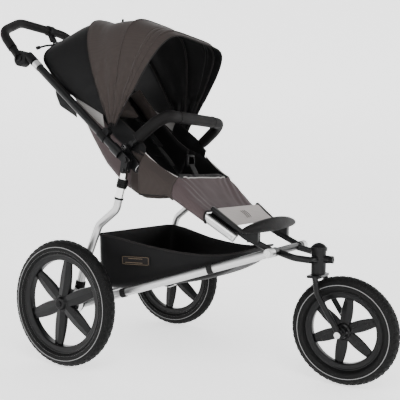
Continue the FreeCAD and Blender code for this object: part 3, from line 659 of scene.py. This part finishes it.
def build_canopy_cloth(look):
    """Two strips of cloth over the bows and the brim in front of them."""
    for name, stations in CANOPY_ROWS.items():
        rows = [cloth_line(look, degrees, CLOTH_HALF, crest, CLOTH_COUNT)
                for degrees, crest in finer(stations, 3)]
        piece = settle(surface(name, rows, "taupe", "black_cloth"), lined(1.4))
        length = math.radians(stations[-1][0] - stations[0][0]) * stations[0][1] * MM
        if name in CANOPY_BODIES:
            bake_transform(piece)
            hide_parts(CANOPY_NODES[name])
        else:
            place(piece, "canopy_front", "cloth_taupe", CANOPY_NODES[name])
        LUNE_SHARE * HOOP_LENGTH * length


REAR_HEM = ((-215, 196, 800), (-217, 268, 839), (-215, 347, 877), (-210, 420, 940),
            (-205, 466, 992), (-190, 474, 1022), (-150, 470, 1056), (-105, 463, 1080),
            (-60, 456, 1095), (0, 452, 1102))


def build_rear_cloth(look):
    """Black cloth behind the rear bow, down to its hem over the upper tubes."""
    hem = smooth_line(with_mirror([at(*p) for p in REAR_HEM]), CLOTH_COUNT)
    start = cloth_line(look, REAR_BOW_DEG + 0.9, CLOTH_HALF - 2.5, 441, CLOTH_COUNT, low=60.0)
    rows = []
    for k in range(9):
        t = k / 8
        row = []
        for a, b in zip(start, hem):
            point = a.lerp(b, t)
            puff = wave(t) * (5.0 + 6.0 * noise.noise(point * 9.0))
            away = Vector((0, 0.35, 1.0))
            if abs(point.x) >= 0.17:
                away = Vector((math.copysign(0.3, point.x), 0.2, 0.5))
            row.append(point + away * puff * MM)
        rows.append(row)
    piece = settle(surface("canopy_back_cloth", rows, "black_cloth"), thicken(1.4))
    place(piece, "upper_frame", "cloth_black", "canopy_rear_panel")
    place(tube("canopy_back_hem", hem, 2.2, "binding"), "upper_frame", "cloth_black")


def build_canopy_trim(look):
    """Bow rods in their sleeves, seam lines, the brim edge and the crest's pull tab."""
    rods = (("rear_bow_rod", REAR_BOW_DEG, 444, "upper_frame", "rear_bow"),
            ("mid_bow_rod", MID_BOW_DEG, 373, "canopy_mid", "mid_bow"),
            ("front_bow_rod", FRONT_BOW_DEG, 355, "canopy_front", "front_bow"))
    for name, degrees, crest, body, node in rods:
        line = cloth_line(look, degrees, CLOTH_HALF - 5.5, crest, 81, low=22.0)
        place(tube(name, line, 3.0, "binding"), body, "bow_black", node)
    seams = (("rear_seam", REAR_BOW_DEG, 450.5, "upper_frame"),
             ("mid_seam", MID_BOW_DEG, 380.5, "canopy_mid"),
             ("brim_seam", 113.0, 359.5, "canopy_front"),
             ("front_seam", FRONT_BOW_DEG, 364, "canopy_front"))
    for name, degrees, crest, body in seams:
        line = cloth_line(look, degrees, CLOTH_HALF + 0.5, crest, 81)
        place(tube(name, line, 1.3, "taupe"), body, "cloth_taupe")
    edge = cloth_line(look, 123.2, CLOTH_HALF, 361, 81)
    place(tube("brim_edge", edge, 1.9, "binding"), "canopy_front", "cloth_taupe")
    tab = [at(0, 287, 1122), at(0, 288, 1134), at(0, 286, 1146), at(0, 284, 1155)]
    place(tube("crest_tab", tab, 4.2, "webbing"), "upper_frame", "webbing")


def ruffled(row, sign, scale, height, bulge):
    """The row moved outwards by noise and by a bulge that is given for each of its points."""
    return [p + X_AXIS * sign * (noise.noise(p * scale) * height + swell) * MM
            for p, swell in zip(row, bulge)]


def build_side_pockets():
    """Small black pockets that hang below the upper tubes."""
    for side, sign in SIDES:
        rows = []
        for k in range(9):
            t = k / 8
            top = at(sign * 220, 402 - 105 * t, 910 - 72 * t)
            low = at(sign * 217, 374 - 77 * t, 832 - 44 * t)
            row = [top.lerp(low, j / 8) for j in range(9)]
            rows.append(ruffled(row, sign, 34.0, 6.0, [4.0 * wave(j / 8) for j in range(9)]))
        piece = surface("tube_pocket_" + side, rows, "black_cloth")
        settle(piece, thicken(2.0, 0.0), soften(1))
        place(piece, "upper_frame", "cloth_black")


CURTAIN_TOP = ((176, 806), (142, 780), (112, 758), (84, 737), (62, 713), (44, 692))
CURTAIN_FOOT = ((200, 756), (168, 728), (140, 706), (112, 688), (84, 678), (50, 664))


def build_side_curtains():
    """Black lining that closes the seat's sides between the canopy joint and the bumper bar."""
    for side, sign in SIDES:
        top = smooth_line([at(sign * 186, y, z) for y, z in CURTAIN_TOP], 21)
        foot = smooth_line([at(sign * 188, y, z) for y, z in CURTAIN_FOOT], 21)
        rows = []
        for k in range(9):
            row = [a.lerp(b, k / 8) for a, b in zip(top, foot)]
            rows.append(ruffled(row, sign, 40.0, 2.4, [-2.5 * wave(k / 8)] * len(row)))
        piece = surface("side_curtain_" + side, rows, "black_cloth")
        settle(piece, thicken(1.6, 0.0), soften(1))
        place(piece, "upper_frame", "cloth_black")
        place(tube("curtain_edge_" + side, top, 1.6, "binding"), "upper_frame", "cloth_black")


def build_side_lining():
    """Light mesh between the hem of the back cloth and the upper tube."""
    upper = ((-213, 196, 803), (-214, 268, 840), (-213, 347, 876), (-210, 400, 918))
    lower = ((-214, 186, 752), (-214, 250, 800), (-214, 320, 862), (-211, 398, 916))
    for side, sign in (("left", 1), ("right", -1)):
        rows = []
        for k in range(6):
            t = k / 5
            row = [flip(at(*a), sign).lerp(flip(at(*b), sign), t) for a, b in zip(upper, lower)]
            row = smooth_line(row, 17)
            rows.append(ruffled(row, sign, 30.0, 3.5, [0.0] * len(row)))
        piece = surface("side_lining_" + side, rows, "lining")
        settle(piece, thicken(1.0, 0.0), soften(1))
        place(piece, "upper_frame", "cloth_black")


# ---------------------------------------------------------------- seat

# The seat cloth's side view: the outer line, and the top of the side wall above it
BACK_LINE = ((398, 912, 368, 938), (366, 870, 332, 902), (338, 828, 298, 868),
             (306, 776, 262, 830), (272, 722, 226, 792), (240, 676, 194, 758),
             (207, 636, 164, 730), (178, 606, 136, 710), (157, 584, 116, 698))
CREASE_LINE = ((157, 584, 116, 698), (146, 577, 110, 697), (134, 569, 104, 695),
               (121, 562, 98, 693), (108, 556, 92, 690))
BASE_LINE = ((108, 556, 92, 690), (88, 542, 73, 686), (62, 533, 42, 668), (20, 531, 5, 642),
             (-25, 536, -30, 618), (-62, 545, -64, 598))
# The seat back's directions: up along it and out of its front, and the middle of its foot
BACK_UP = Vector((0, 0.618, 0.787))
BACK_OUT = Vector((0, -0.787, 0.618))
BACK_FOOT = at(0, 143, 589)


def back_point(x, along, above):
    """A point of the seat back: across it, up along it and out of its front."""
    return BACK_FOOT + BACK_UP * along * MM + BACK_OUT * above * MM + X_AXIS * x * MM


def base_half(y):
    """Half width of the seat tub at a distance along it."""
    return 187.0 - max(0.0, 40.0 - y) * 0.17


def tub_row(half, y, z, wall_y, wall_z, count=33):
    """One cross-section of a cloth tub: a wall, a rounded floor and the other wall."""
    top = at(-half, wall_y, wall_z)
    low = at(-half, y, z)
    points = [top, low + (top - low) * 0.12, low + X_AXIS * 9 * MM]
    right = [flip(p, -1) for p in reversed(points)]
    return smooth_line(points + right, count)


def seat_shell(name, stations, half_at, finish):
    """A cloth tub through cross-sections, with a black inside."""
    rows = [tub_row(half_at(k, row), *row) for k, row in enumerate(finer(stations, 3))]
    return settle(surface(name, rows, finish, "black_cloth"), lined(2.5))


def build_seat_shells():
    """Outer cloth of the seat back and the seat tub, and the strip that joins them."""
    piece = seat_shell("back_shell", BACK_LINE,
                       lambda k, row: 172.0 + 14.0 * min(1.0, k / 16), "mauve")
    place(piece, "backrest", "cloth_mauve")
    piece = seat_shell("base_shell", BASE_LINE, lambda k, row: base_half(row[0]), "taupe")
    place(piece, "front_frame", "cloth_taupe")
    piece = seat_shell("crease_strip", CREASE_LINE, lambda k, row: 186.5, "mauve")
    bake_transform(piece)


def build_seat_pads():
    """Stuffed back and seat pads, side wings and headrest."""
    pad = slab_pad("back_pad", (back_point(-160, 8, 8), back_point(160, 8, 8)),
                   (back_point(-150, 392, 10), back_point(150, 392, 10)),
                   -1.0, "black_cloth", 20, 9)
    channel(pad, BACK_FOOT, BACK_UP, (90, 180, 270))
    place(pad, "backrest", "cloth_black", "seat_back")
    for side, sign in SIDES:
        wing = slab_pad("back_wing_" + side,
                        (back_point(sign * 160, 210, 26), back_point(sign * 162, 222, 76)),
                        (back_point(sign * 148, 384, 26), back_point(sign * 150, 372, 74)),
                        -float(sign), "taupe", 13, 6)
        place(wing, "backrest", "cloth_taupe")
    rest = slab_pad("headrest", (back_point(-92, 262, 36), back_point(92, 262, 36)),
                    (back_point(-82, 352, 36), back_point(82, 352, 36)), -1.0, "taupe", 18, 9)
    place(rest, "backrest", "cloth_taupe")
    seat = slab_pad("seat_pad", (at(-166, 86, 562), at(166, 86, 562)),
                    (at(-156, -62, 588), at(156, -62, 588)), 1.0, "black_cloth", 18, 9)
    channel(seat, at(0, 86, 0), Vector((0, -1, 0)), (50, 100))
    place(seat, "front_frame", "cloth_black", "seat_base")


def channel(pad, origin, along, places, width=6.0, depth=4.0):
    """Sewn channels across a pad."""
    normals = [v.normal.copy() for v in pad.data.vertices]
    for vert, normal in zip(pad.data.vertices, normals):
        travel = (vert.co - origin).dot(along) / MM
        for place_mm in places:
            gap = abs(travel - place_mm) / width
            if gap < 1.0:
                vert.co -= normal * depth * MM * (1 - gap) ** 2


def tube_side(y):
    """The left front tube's middle line at a distance along: x from the centre, and z."""
    t = (58.0 - y) / 309.0
    return 209.0 - 63.0 * t, 627.0 - 204.0 * t


def wrap_row(y, top_x, top_z, dip, count):
    """Cloth over the seat's front and down outside both front tubes, in one cross-section."""
    tube_x, tube_z = tube_side(y)
    low_z = min(543.0, tube_z - 17.0)
    points = [at(-(tube_x - 6), y, low_z), at(-(tube_x + 13), y, low_z + 3),
              at(-(tube_x + 17.5), y, max(tube_z, low_z + 12)),
              at(-(tube_x + 9), y, min(tube_z + 26, top_z - 2)), at(-top_x, y, top_z)]
    if dip is not None:
        points += [at(-top_x * 0.5, y, top_z - dip * 0.8), at(0, y, top_z - dip)]
        points = with_mirror(points)
    return smooth_line(points, count)


def build_apron():
    """Cloth over the seat's front and round the front tubes, down to the footrest."""
    stations = ((-62, 600, 166), (-72, 590, 167), (-92, 568, 167), (-116, 541, 166),
                (-142, 517, 164), (-164, 500, 162))
    rows = []
    for k, (y, z, half) in enumerate(finer(stations, 4)):
        t = k / 20
        row = wrap_row(y, half, z, 3.0 + 5.0 * wave(t), 97)
        for j in range(13, 84):
            p = row[j]
            pull = math.exp(-((j - 22) / 10.0) ** 2) + math.exp(-((74 - j) / 10.0) ** 2)
            ray = math.sin((abs(p.x) * 1.1 + t * 0.075) * 150.0) * pull * 2.4 * (1 - t * 0.8)
            swell = noise.noise(p * 14.0) * 2.2 + noise.noise(p * 38.0) * 0.8
            row[j] = p + Vector((0, -0.5, 0.86)) * (ray + swell) * MM
        rows.append(row)
    piece = settle(surface("apron_cloth", rows, "mauve", "black_cloth"), lined(1.6))
    place(piece, "front_frame", "cloth_mauve", "calf_apron")
    edge = [p + Vector((0, -0.5, 0.6)) * 1.2 * MM for p in rows[-1][2:-2]]
    place(tube("apron_hem", edge, 3.0, "binding"), "front_frame", "cloth_mauve")
    # Piping along the seat's front edge; its pale colour is partly a painted highlight.
    lip = [p + Vector((0, 0.1, 0.6)) * 2.0 * MM for p in rows[0][24:-24]]
    place(tube("seat_piping", lip, 1.8, "piping_and_highlight"), "front_frame", "cloth_mauve")
    for side, sign in (("left", 1), ("right", -1)):
        build_side_panel(side, sign)


def build_side_panel(side, sign):
    """One side of the seat outside its front tube, with its trim, the light cord along its top (its pale
    colour partly a painted highlight) and tube boot.
    """
    rows = []
    for k in range(17):
        t = k / 16
        row = wrap_row(46 - 108 * t, 187.5 - 21.5 * t, 674 - 74 * t - 8 * wave(t), None, 41)
        row = [p + X_AXIS * noise.noise(p * 26.0) * 3.0 * wave(j / 40) * MM
               for j, p in enumerate(row)]
        rows.append([flip(p, sign) for p in row])
    panel = settle(surface("side_panel_" + side, rows, "taupe"), thicken(1.6, 0.0))
    place(panel, "front_frame", "cloth_taupe")
    trim = [row[5] + Vector((0, 0, -0.5)) * MM for row in rows]
    place(tube("panel_trim_" + side, trim, 3.0, "binding"), "front_frame", "cloth_taupe")
    x, z = tube_side(57)
    along = Vector((63, -309, -204)).normalized() * 15 * MM
    boot = [flip(at(-x, 57, z) + along * part, sign) for part in (0, 0.5, 1)]
    place(tube("tube_boot_" + side, boot, 13.4, "moulding"), "front_frame", "moulding_black")
    # Piping along the panel's top edge; its pale colour is partly a painted highlight.
    top = [row[-1] + Vector((0, 0, 1.0)) * MM for row in rows]
    place(tube("panel_piping_" + side, top, 1.5, "piping_and_highlight"), "front_frame", "cloth_taupe")


CHANNEL_LINE = ((152, -176, 512), (148, -205, 490), (142, -240, 464), (132, -272, 440))


def build_footrest():
    """Light footrest panel in its black side channels, with a plain stitched motif."""
    rows = []
    for k in range(7):
        t = k / 6
        y, z = -252 + 66 * t, 461 + 49 * t
        half = 138 + 9 * t
        rows.append([at(-half + 2 * half * j / 12, y, z - 3.0 * math.sin(math.pi * t)) for j in range(13)])
    piece = settle(surface("footrest_cloth", rows, "panel"), thicken(3.0, 0.0), soften(1))
    place(piece, "front_frame", "panel_grey", "footrest_panel")
    for side, sign in SIDES:
        line = [flip(at(*p), sign) for p in CHANNEL_LINE]
        rail = strap("footrest_channel_" + side, line, Vector((1, 0, 0.1)), 17, 12, "paint")
        place(rail, "front_frame", "moulding_black")
        cover = []
        for y in (-166, -196, -226, -254):
            tube_x, tube_z = tube_side(y)
            cover.append(at(sign * (tube_x - 9), y, tube_z + 13.5))
        cover = strap("tube_cover_" + side, cover, X_AXIS, 21, 7, "paint")
        place(cover, "front_frame", "moulding_black")
    for k in range(3):
        shift = 13.0 * k
        line = [at(-26 + shift, -206, 497.8), at(-14 + shift, -219, 487.2),
                at(-26 + shift, -232, 477.8)]
        place(tube("panel_chevron_%d" % k, line, 0.8, "motif"), "front_frame", "panel_grey")
    rings = []
    for k in range(21):
        along = -1 + k / 10
        full = 1 - along * along
        p = at(192 * along, -298 - 16 * full, 452 + 9 * full)
        depth, tall = 7 + 9 * full, 6 + 18 * full ** 0.7
        ring = []
        for j in range(16):
            turn = math.tau * j / 16
            out, up = math.cos(turn) * depth, math.sin(turn) * tall
            ring.append(p + Vector((0, out - up * 0.28, up + out * 0.2)) * MM)
        rings.append(ring)
    piece = inflate(closed_form("foot_cushion", rings, "foam"), 2, 4.0)
    place(piece, "front_frame", "grip_foam", "foot_pad")


SHOULDER_LINE = ((100, 30, 40), (88, 60, 46), (70, 110, 48), (62, 170, 46), (60, 225, 43),
                 (60, 252, 36))


def build_harness():
    """Shoulder straps, crotch strap and buckle."""
    for side, sign in SIDES:
        line = [back_point(sign * x, along, above) for x, along, above in SHOULDER_LINE]
        webbing = strap("shoulder_strap_" + side, smooth_line(line, 17), X_AXIS, 25, 2.0, "webbing")
        place(webbing, "backrest", "webbing", "shoulder_straps")
        pad_line = [p + BACK_OUT * 4 * MM for p in smooth_line(line[2:5], 9)]
        pad = strap("strap_pad_" + side, pad_line, X_AXIS, 42, 7, "black_cloth")
        place(settle(pad, soften(1)), "backrest", "webbing")
    crotch = [at(0, -30, 603), at(0, -24, 616), at(0, -14, 632), at(0, -6, 643)]
    webbing = strap("crotch_strap", smooth_line(crotch, 9), X_AXIS, 30, 2.2, "webbing")
    place(webbing, "front_frame", "webbing", "crotch_harness")
    bm = bmesh.new()
    bmesh.ops.create_cube(bm, size=1.0)
    bmesh.ops.scale(bm, verts=bm.verts, vec=Vector((46, 13, 38)) * MM)
    bmesh.ops.translate(bm, verts=bm.verts, vec=at(0, -2, 655))
    bmesh.ops.bevel(bm, geom=bm.edges[:], offset=0.005, offset_type="OFFSET", segments=4,
                    profile=0.5, affect="EDGES", material=-1)
    front = [f for f in bm.faces if f.normal.y < -0.9]
    bmesh.ops.inset_region(bm, faces=front, thickness=0.004, depth=-0.0012)
    place(give(bm, "buckle", "moulding"), "front_frame", "webbing")


# ---------------------------------------------------------------- bar, basket and small parts

def build_bumper(look):
    """Padded bar with zipped cover, rounded at its corners."""
    start, corner = at(196, 74, 717), at(184, -18, 789)
    path = [start, start.lerp(corner, 0.5), corner + at(0, 20, -16), corner + at(-22, -3, 0),
            corner + at(-70, -4, 1)]
    line = smooth_line(path + [flip(p, -1) for p in reversed(path)], 61)
    rings = []
    for k, p in enumerate(line):
        ahead = (line[min(k + 1, 60)] - line[max(k - 1, 0)]).normalized()
        side = ahead.cross(Vector((0, 0.62, 0.785))).normalized()
        up = side.cross(ahead).normalized()
        taper = 3.0 if k in (0, 60) else 0.0
        swell = look.bar_radius + (0.8 * noise.noise(p * 25.0) - taper) * MM
        rings.append([p + (side * math.cos(math.tau * j / 18) + up * math.sin(math.tau * j / 18))
                      * swell for j in range(18)])
    piece = settle(closed_form("bumper_cover", rings, "foam"), soften(1))
    place(piece, "bumper_bar", "grip_foam", "bumper_pad")
    middle = rings[30]
    centre = sum(middle, Vector()) / 18
    for side, sign in SIDES:
        seam = [Vector((sign * 0.108, p.y, p.z)) + (p - centre) * 0.02 for p in middle]
        ring = tube("bumper_seam_" + side, seam, 0.9, "binding", closed=True)
        place(ring, "bumper_bar", "grip_foam")
    zip_line = [ring[13] for ring in rings[2:-2]]
    place(tube("bumper_zip", zip_line, 1.0, "binding"), "bumper_bar", "grip_foam")


BASKET_STATIONS = (
    # y, half width at rim, rim z, half width at floor, floor z
    (224, 213, 412, 206, 262), (206, 214, 412, 204, 236), (150, 206, 406, 190, 232),
    (90, 192, 393, 176, 240), (20, 176, 379, 158, 253), (-60, 160, 369, 142, 268),
    (-130, 146, 364, 128, 284), (-178, 136, 366, 118, 300), (-226, 126, 372, 108, 326),
    (-262, 118, 380, 100, 352))


def build_basket():
    """Sagging cloth basket with a bound rim."""
    rows = []
    for y, rim_half, rim_z, floor_half, floor_z in BASKET_STATIONS:
        points = [at(-rim_half, y, rim_z), at(-rim_half + 2, y, rim_z * 0.6 + floor_z * 0.4),
                  at(-floor_half, y, floor_z + 8), at(-floor_half + 16, y, floor_z),
                  at(0, y, floor_z - 5)]
        row = smooth_line(with_mirror(points), 49)
        rows.append([p + at(noise.noise(p * 11.0) * 3.4, 0,
                            noise.noise(p * 9.0 + Vector((3, 1, 2))) * 3.0) for p in row])
    bm = bmesh.new()
    made = loft(bm, rows)
    for ring in (made[0], made[-1]):
        middle = len(ring) // 2
        for j in range(middle - 1):
            bm.faces.new([ring[j], ring[j + 1], ring[-j - 2], ring[-j - 1]])
        bm.faces.new(ring[middle - 1:middle + 2])
    outwards(bm)
    piece = settle(give(bm, "basket_cloth", "black_cloth"), thicken(2.0), soften(1))
    place(piece, "lower_frame", "cloth_black", "basket")
    rim = [row[0] for row in rows] + [row[-1] for row in reversed(rows)]
    rim = smooth_line(rim + rim[:1], 121)[:-1]
    place(tube("basket_rim", rim, 3.2, "binding", closed=True), "lower_frame", "cloth_black")


def build_basket_loops():
    """Webbing loops that hold the basket on the lower tubes."""
    start, end = at(250, 240, 189), at(127, -340, 381)
    along = (end - start).normalized()
    up = (Vector((0, 0, 1)) - along * along.z).normalized()
    across = along.cross(up)
    for side, sign in SIDES:
        for k, t in enumerate((0.24, 0.72)):
            middle = start.lerp(end, t)
            turns = [math.tau * j / 20 for j in range(21)]
            ring = [middle + (up * math.cos(turn) + across * math.sin(turn)) * 14.0 * MM
                    for turn in turns]
            loop = strap("basket_loop_%s_%d" % (side, k), [flip(p, sign) for p in ring],
                         flip(along, sign), 18, 1.6, "webbing")
            place(loop, "lower_frame", "webbing")


def build_basket_patches():
    """A plain patch on each side of the basket, with a stitched border and two bars."""
    for side, sign in SIDES:
        rows = []
        for k in range(5):
            z = 322 + 26 * k / 4
            rows.append([at(sign * (180.2 + 0.25 * (y - 20) - 0.06 * (348 - z)), y, z)
                         for y in (30 + 92 * j / 8 for j in range(9))])
        piece = surface("basket_patch_" + side, rows, "binding")
        place(settle(piece, thicken(1.2, 0.0)), "lower_frame", "cloth_black")
        lift = X_AXIS * sign * 1.2 * MM
        corners = [rows[0][0], rows[0][-1], rows[-1][-1], rows[-1][0]]
        middle = sum(corners, Vector()) / 4
        corners = [middle + (p - middle) * 0.92 + lift for p in corners]
        border = [a.lerp(b, k / 6) for a, b in zip(corners, corners[1:] + corners[:1])
                  for k in range(6)]
        piece = tube("patch_border_" + side, border, 0.7, "stitch", closed=True)
        place(piece, "lower_frame", "cloth_black")
        for k in range(2):
            first, last = rows[3 - 2 * k][2], rows[3 - 2 * k][6 + k]
            bar = [first.lerp(last, j / 6) + lift for j in range(7)]
            piece = tube("patch_bar_%s_%d" % (side, k), bar, 0.9, "stitch")
            place(piece, "lower_frame", "cloth_black")


# ---------------------------------------------------------------- finishes of the frame

NODE_FINISH = {
    "tube": "front_tubes tube_clamps rear_legs lower_tubes rear_axle",
    "sleeve": "leg_sleeves",
    "steel": "frame_bolts front_axle fork_stem brake_drum_left brake_drum_right",
    "paint": ("front_rails upper_tubes handle_tube hinge_plates hinge_knuckles yoke fork "
              "bumper_core"),
    "moulding": ("adjuster_inners adjuster_outers adjuster_button_left adjuster_button_right "
                 "axle_blocks canopy_clamps canopy_hubs leg_fittings lock_collar_left "
                 "lock_collar_right lever_clamp brake_lever swivel_knob swivel_bushes "
                 "housing_cap axle_button_left axle_button_right rear_bow mid_bow front_bow "
                 "brake_cable"),
    "foam": "handle_grip bumper_pad foot_pad",
    "tyre": "front_tyre rear_tyre_left rear_tyre_right",
    "wheel": "front_wheel rear_wheel_left rear_wheel_right",
    "taupe": "canopy_top_rear canopy_top_front visor",
    "black_cloth": "canopy_rear_panel basket seat_back seat_base",
    "mauve": "calf_apron",
    "panel": "footrest_panel",
    "webbing": "shoulder_straps crotch_harness",
}


def finish_frame():
    """Gives every CAD node its material."""
    for finish, names in NODE_FINISH.items():
        for name in names.split():
            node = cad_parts[name]
            if node.material_slots:
                for place_slot in node.material_slots:
                    place_slot.material = MATERIALS[finish]
            else:
                node.data.materials.append(MATERIALS[finish])


# ---------------------------------------------------------------- stage

CAMERA_PLACE = (-1715.0, -1067.4, 620.8)
CAMERA_RIGHT = (0.51338, -0.85808, 0.01174)
CAMERA_UP = (0.0353, 0.03479, 0.99877)
CAMERA_BACK = (-0.85743, -0.51234, 0.04814)
LENS_MM, SENSOR_MM = 54.25, 36.0
WHITE = (1, 1, 1, 1)


def link(item):
    bpy.context.scene.collection.objects.link(item)
    return item


def build_floor():
    """A round pale floor that curves up into a wall."""
    flat, bend, top = 5200, 1800, 3800
    profile = [at(0, 0, 0), at(3000, 0, 0), at(flat, 0, 0)]
    for k in range(1, 9):
        turn = math.pi / 2 * k / 8
        profile.append(at(flat + bend * math.sin(turn), 0, bend * (1 - math.cos(turn))))
    profile.append(at(flat + bend, 0, top))
    bm = bmesh.new()
    verts = [bm.verts.new(p) for p in profile]
    edges = [bm.edges.new(pair) for pair in zip(verts, verts[1:])]
    bmesh.ops.spin(bm, geom=verts + edges, cent=Vector(), axis=Vector((0, 0, 1)),
                   angle=math.tau, steps=64, use_merge=True)
    outwards(bm)
    material, shader, _ = shader_start("pale floor")
    for name, value in (("Base Color", (0.88, 0.88, 0.88, 1)), ("Roughness", 0.85),
                        ("Emission Color", WHITE), ("Emission Strength", 1.2)):
        shader.inputs[name].default_value = value
    MATERIALS["floor"] = material
    give(bm, "studio_floor", "floor")


def build_stage(look):
    """The floor, three soft lamps, the sky and the camera."""
    build_floor()
    lamps = (("key", (-1.9, -1.5, 3.2), 2.2, 1.0), ("fill", (-2.6, -3.4, 1.5), 2.5, 0.3),
             ("rim", (2.4, 2.2, 2.8), 2.0, 0.4))
    target = Vector((0, 0, 0.6))
    for name, spot, size, share in lamps:
        light = bpy.data.lights.new(name, "AREA")
        light.size = size
        light.energy = look.key_power * share
        lamp = link(bpy.data.objects.new(name, light))
        lamp.location = spot
        lamp.rotation_euler = (target - Vector(spot)).to_track_quat("-Z", "Y").to_euler()
    world = bpy.data.worlds.new("studio")
    world.use_nodes = True
    sky = world.node_tree.nodes["Background"]
    sky.inputs["Color"].default_value = WHITE
    sky.inputs["Strength"].default_value = look.sky_power
    bpy.context.scene.world = world
    lens = bpy.data.cameras.new("camera")
    lens.sensor_width = SENSOR_MM
    lens.lens = LENS_MM
    camera = link(bpy.data.objects.new("camera", lens))
    matrix = Matrix((CAMERA_RIGHT, CAMERA_UP, CAMERA_BACK)).transposed().to_4x4()
    matrix.translation = at(*CAMERA_PLACE)
    camera.matrix_world = matrix
    bpy.context.scene.camera = camera


# ---------------------------------------------------------------- add-on

def colour_property(name, description, default):
    return bpy.props.FloatVectorProperty(name=name, description=description, default=default,
                                         size=3, subtype="COLOR", min=0.0, max=1.0)


def size_property(name, description, default):
    return bpy.props.FloatProperty(name=name, description=description, default=default,
                                   min=0.0, unit="LENGTH")


class StrollerLook(bpy.types.PropertyGroup):
    """Colours, sizes and lights that a user may change"""
    canopy_colour: colour_property(
        "Canopy", "Colour of the canopy and seat sides", (0.026, 0.0205, 0.0188))
    apron_colour: colour_property(
        "Apron", "Colour of the apron and back shell", (0.046, 0.034, 0.035))
    panel_colour: colour_property(
        "Footrest", "Colour of the footrest panel", (0.27, 0.25, 0.24))
    tube_colour: colour_property("Tubes", "Colour of the silver tubes", (0.52, 0.52, 0.52))
    fold_depth: size_property(
        "Canopy folds", "Depth of the small folds near the canopy joint", 0.005)
    tread_depth: size_property("Tread", "Height of the tread blocks on the tyres", 0.0014)
    bar_radius: size_property("Bumper bar", "Radius of the padded bumper bar", 0.0195)
    key_power: bpy.props.FloatProperty(
        name="Key light", description="Power of the key light", default=80.0, min=0.0,
        unit="POWER")
    sky_power: bpy.props.FloatProperty(
        name="Sky", description="Strength of the light all round", default=0.6, min=0.0)


class STROLLER_OT_stage(bpy.types.Operator):
    """Makes the floor, lights, camera and every finish"""
    bl_idname = "stroller.stage"
    bl_label = "Stage and Finishes"

    def execute(self, context):
        make_materials(context.scene.stroller_look)
        build_stage(context.scene.stroller_look)
        return {"FINISHED"}


class STROLLER_OT_frame(bpy.types.Operator):
    """Gives the CAD parts their finishes"""
    bl_idname = "stroller.frame"
    bl_label = "Frame Finishes"

    def execute(self, context):
        finish_frame()
        return {"FINISHED"}


class STROLLER_OT_wheels(bpy.types.Operator):
    """Builds the three wheels"""
    bl_idname = "stroller.wheels"
    bl_label = "Wheels"

    def execute(self, context):
        build_wheels(context.scene.stroller_look)
        return {"FINISHED"}


class STROLLER_OT_canopy(bpy.types.Operator):
    """Builds the canopy, its bows and its trim"""
    bl_idname = "stroller.canopy"
    bl_label = "Canopy"

    def execute(self, context):
        look = context.scene.stroller_look
        build_canopy_trim(look)
        build_canopy_cloth(look)
        build_rear_cloth(look)
        build_side_lining()
        build_side_curtains()
        build_side_pockets()
        return {"FINISHED"}


class STROLLER_OT_seat(bpy.types.Operator):
    """Builds the seat shells and pads"""
    bl_idname = "stroller.seat"
    bl_label = "Seat"

    def execute(self, context):
        build_seat_shells()
        build_seat_pads()
        return {"FINISHED"}


class STROLLER_OT_apron(bpy.types.Operator):
    """Builds the front cloth and the footrest"""
    bl_idname = "stroller.apron"
    bl_label = "Apron"

    def execute(self, context):
        build_apron()
        build_footrest()
        return {"FINISHED"}


class STROLLER_OT_harness(bpy.types.Operator):
    """Builds the straps and the buckle"""
    bl_idname = "stroller.harness"
    bl_label = "Harness"

    def execute(self, context):
        build_harness()
        return {"FINISHED"}


class STROLLER_OT_bumper(bpy.types.Operator):
    """Builds the padded bar"""
    bl_idname = "stroller.bumper"
    bl_label = "Bumper Bar"

    def execute(self, context):
        build_bumper(context.scene.stroller_look)
        return {"FINISHED"}


class STROLLER_OT_basket(bpy.types.Operator):
    """Builds the basket with its loops and patches"""
    bl_idname = "stroller.basket"
    bl_label = "Basket"

    def execute(self, context):
        build_basket()
        build_basket_loops()
        build_basket_patches()
        return {"FINISHED"}


OPERATORS = (STROLLER_OT_stage, STROLLER_OT_frame, STROLLER_OT_wheels, STROLLER_OT_canopy,
             STROLLER_OT_seat, STROLLER_OT_apron, STROLLER_OT_harness, STROLLER_OT_bumper,
             STROLLER_OT_basket)


class STROLLER_PT_panel(bpy.types.Panel):
    """Lists the colours and the build steps"""
    bl_idname = "STROLLER_PT_panel"
    bl_label = "Stroller"
    bl_space_type = "VIEW_3D"
    bl_region_type = "UI"
    bl_category = "Stroller"

    def draw(self, context):
        look = context.scene.stroller_look
        for key in StrollerLook.__annotations__:
            self.layout.prop(look, key)
        for operator in OPERATORS:
            self.layout.operator(operator.bl_idname)


def register():
    for item in (StrollerLook, *OPERATORS, STROLLER_PT_panel):
        bpy.utils.register_class(item)
    bpy.types.Scene.stroller_look = bpy.props.PointerProperty(type=StrollerLook)


def unregister():
    del bpy.types.Scene.stroller_look
    for item in reversed((StrollerLook, *OPERATORS, STROLLER_PT_panel)):
        bpy.utils.unregister_class(item)


def main():
    register()
    for operator in OPERATORS:
        group, name = operator.bl_idname.split(".")
        getattr(getattr(bpy.ops, group), name)()


if __name__ == "__main__":
    main()
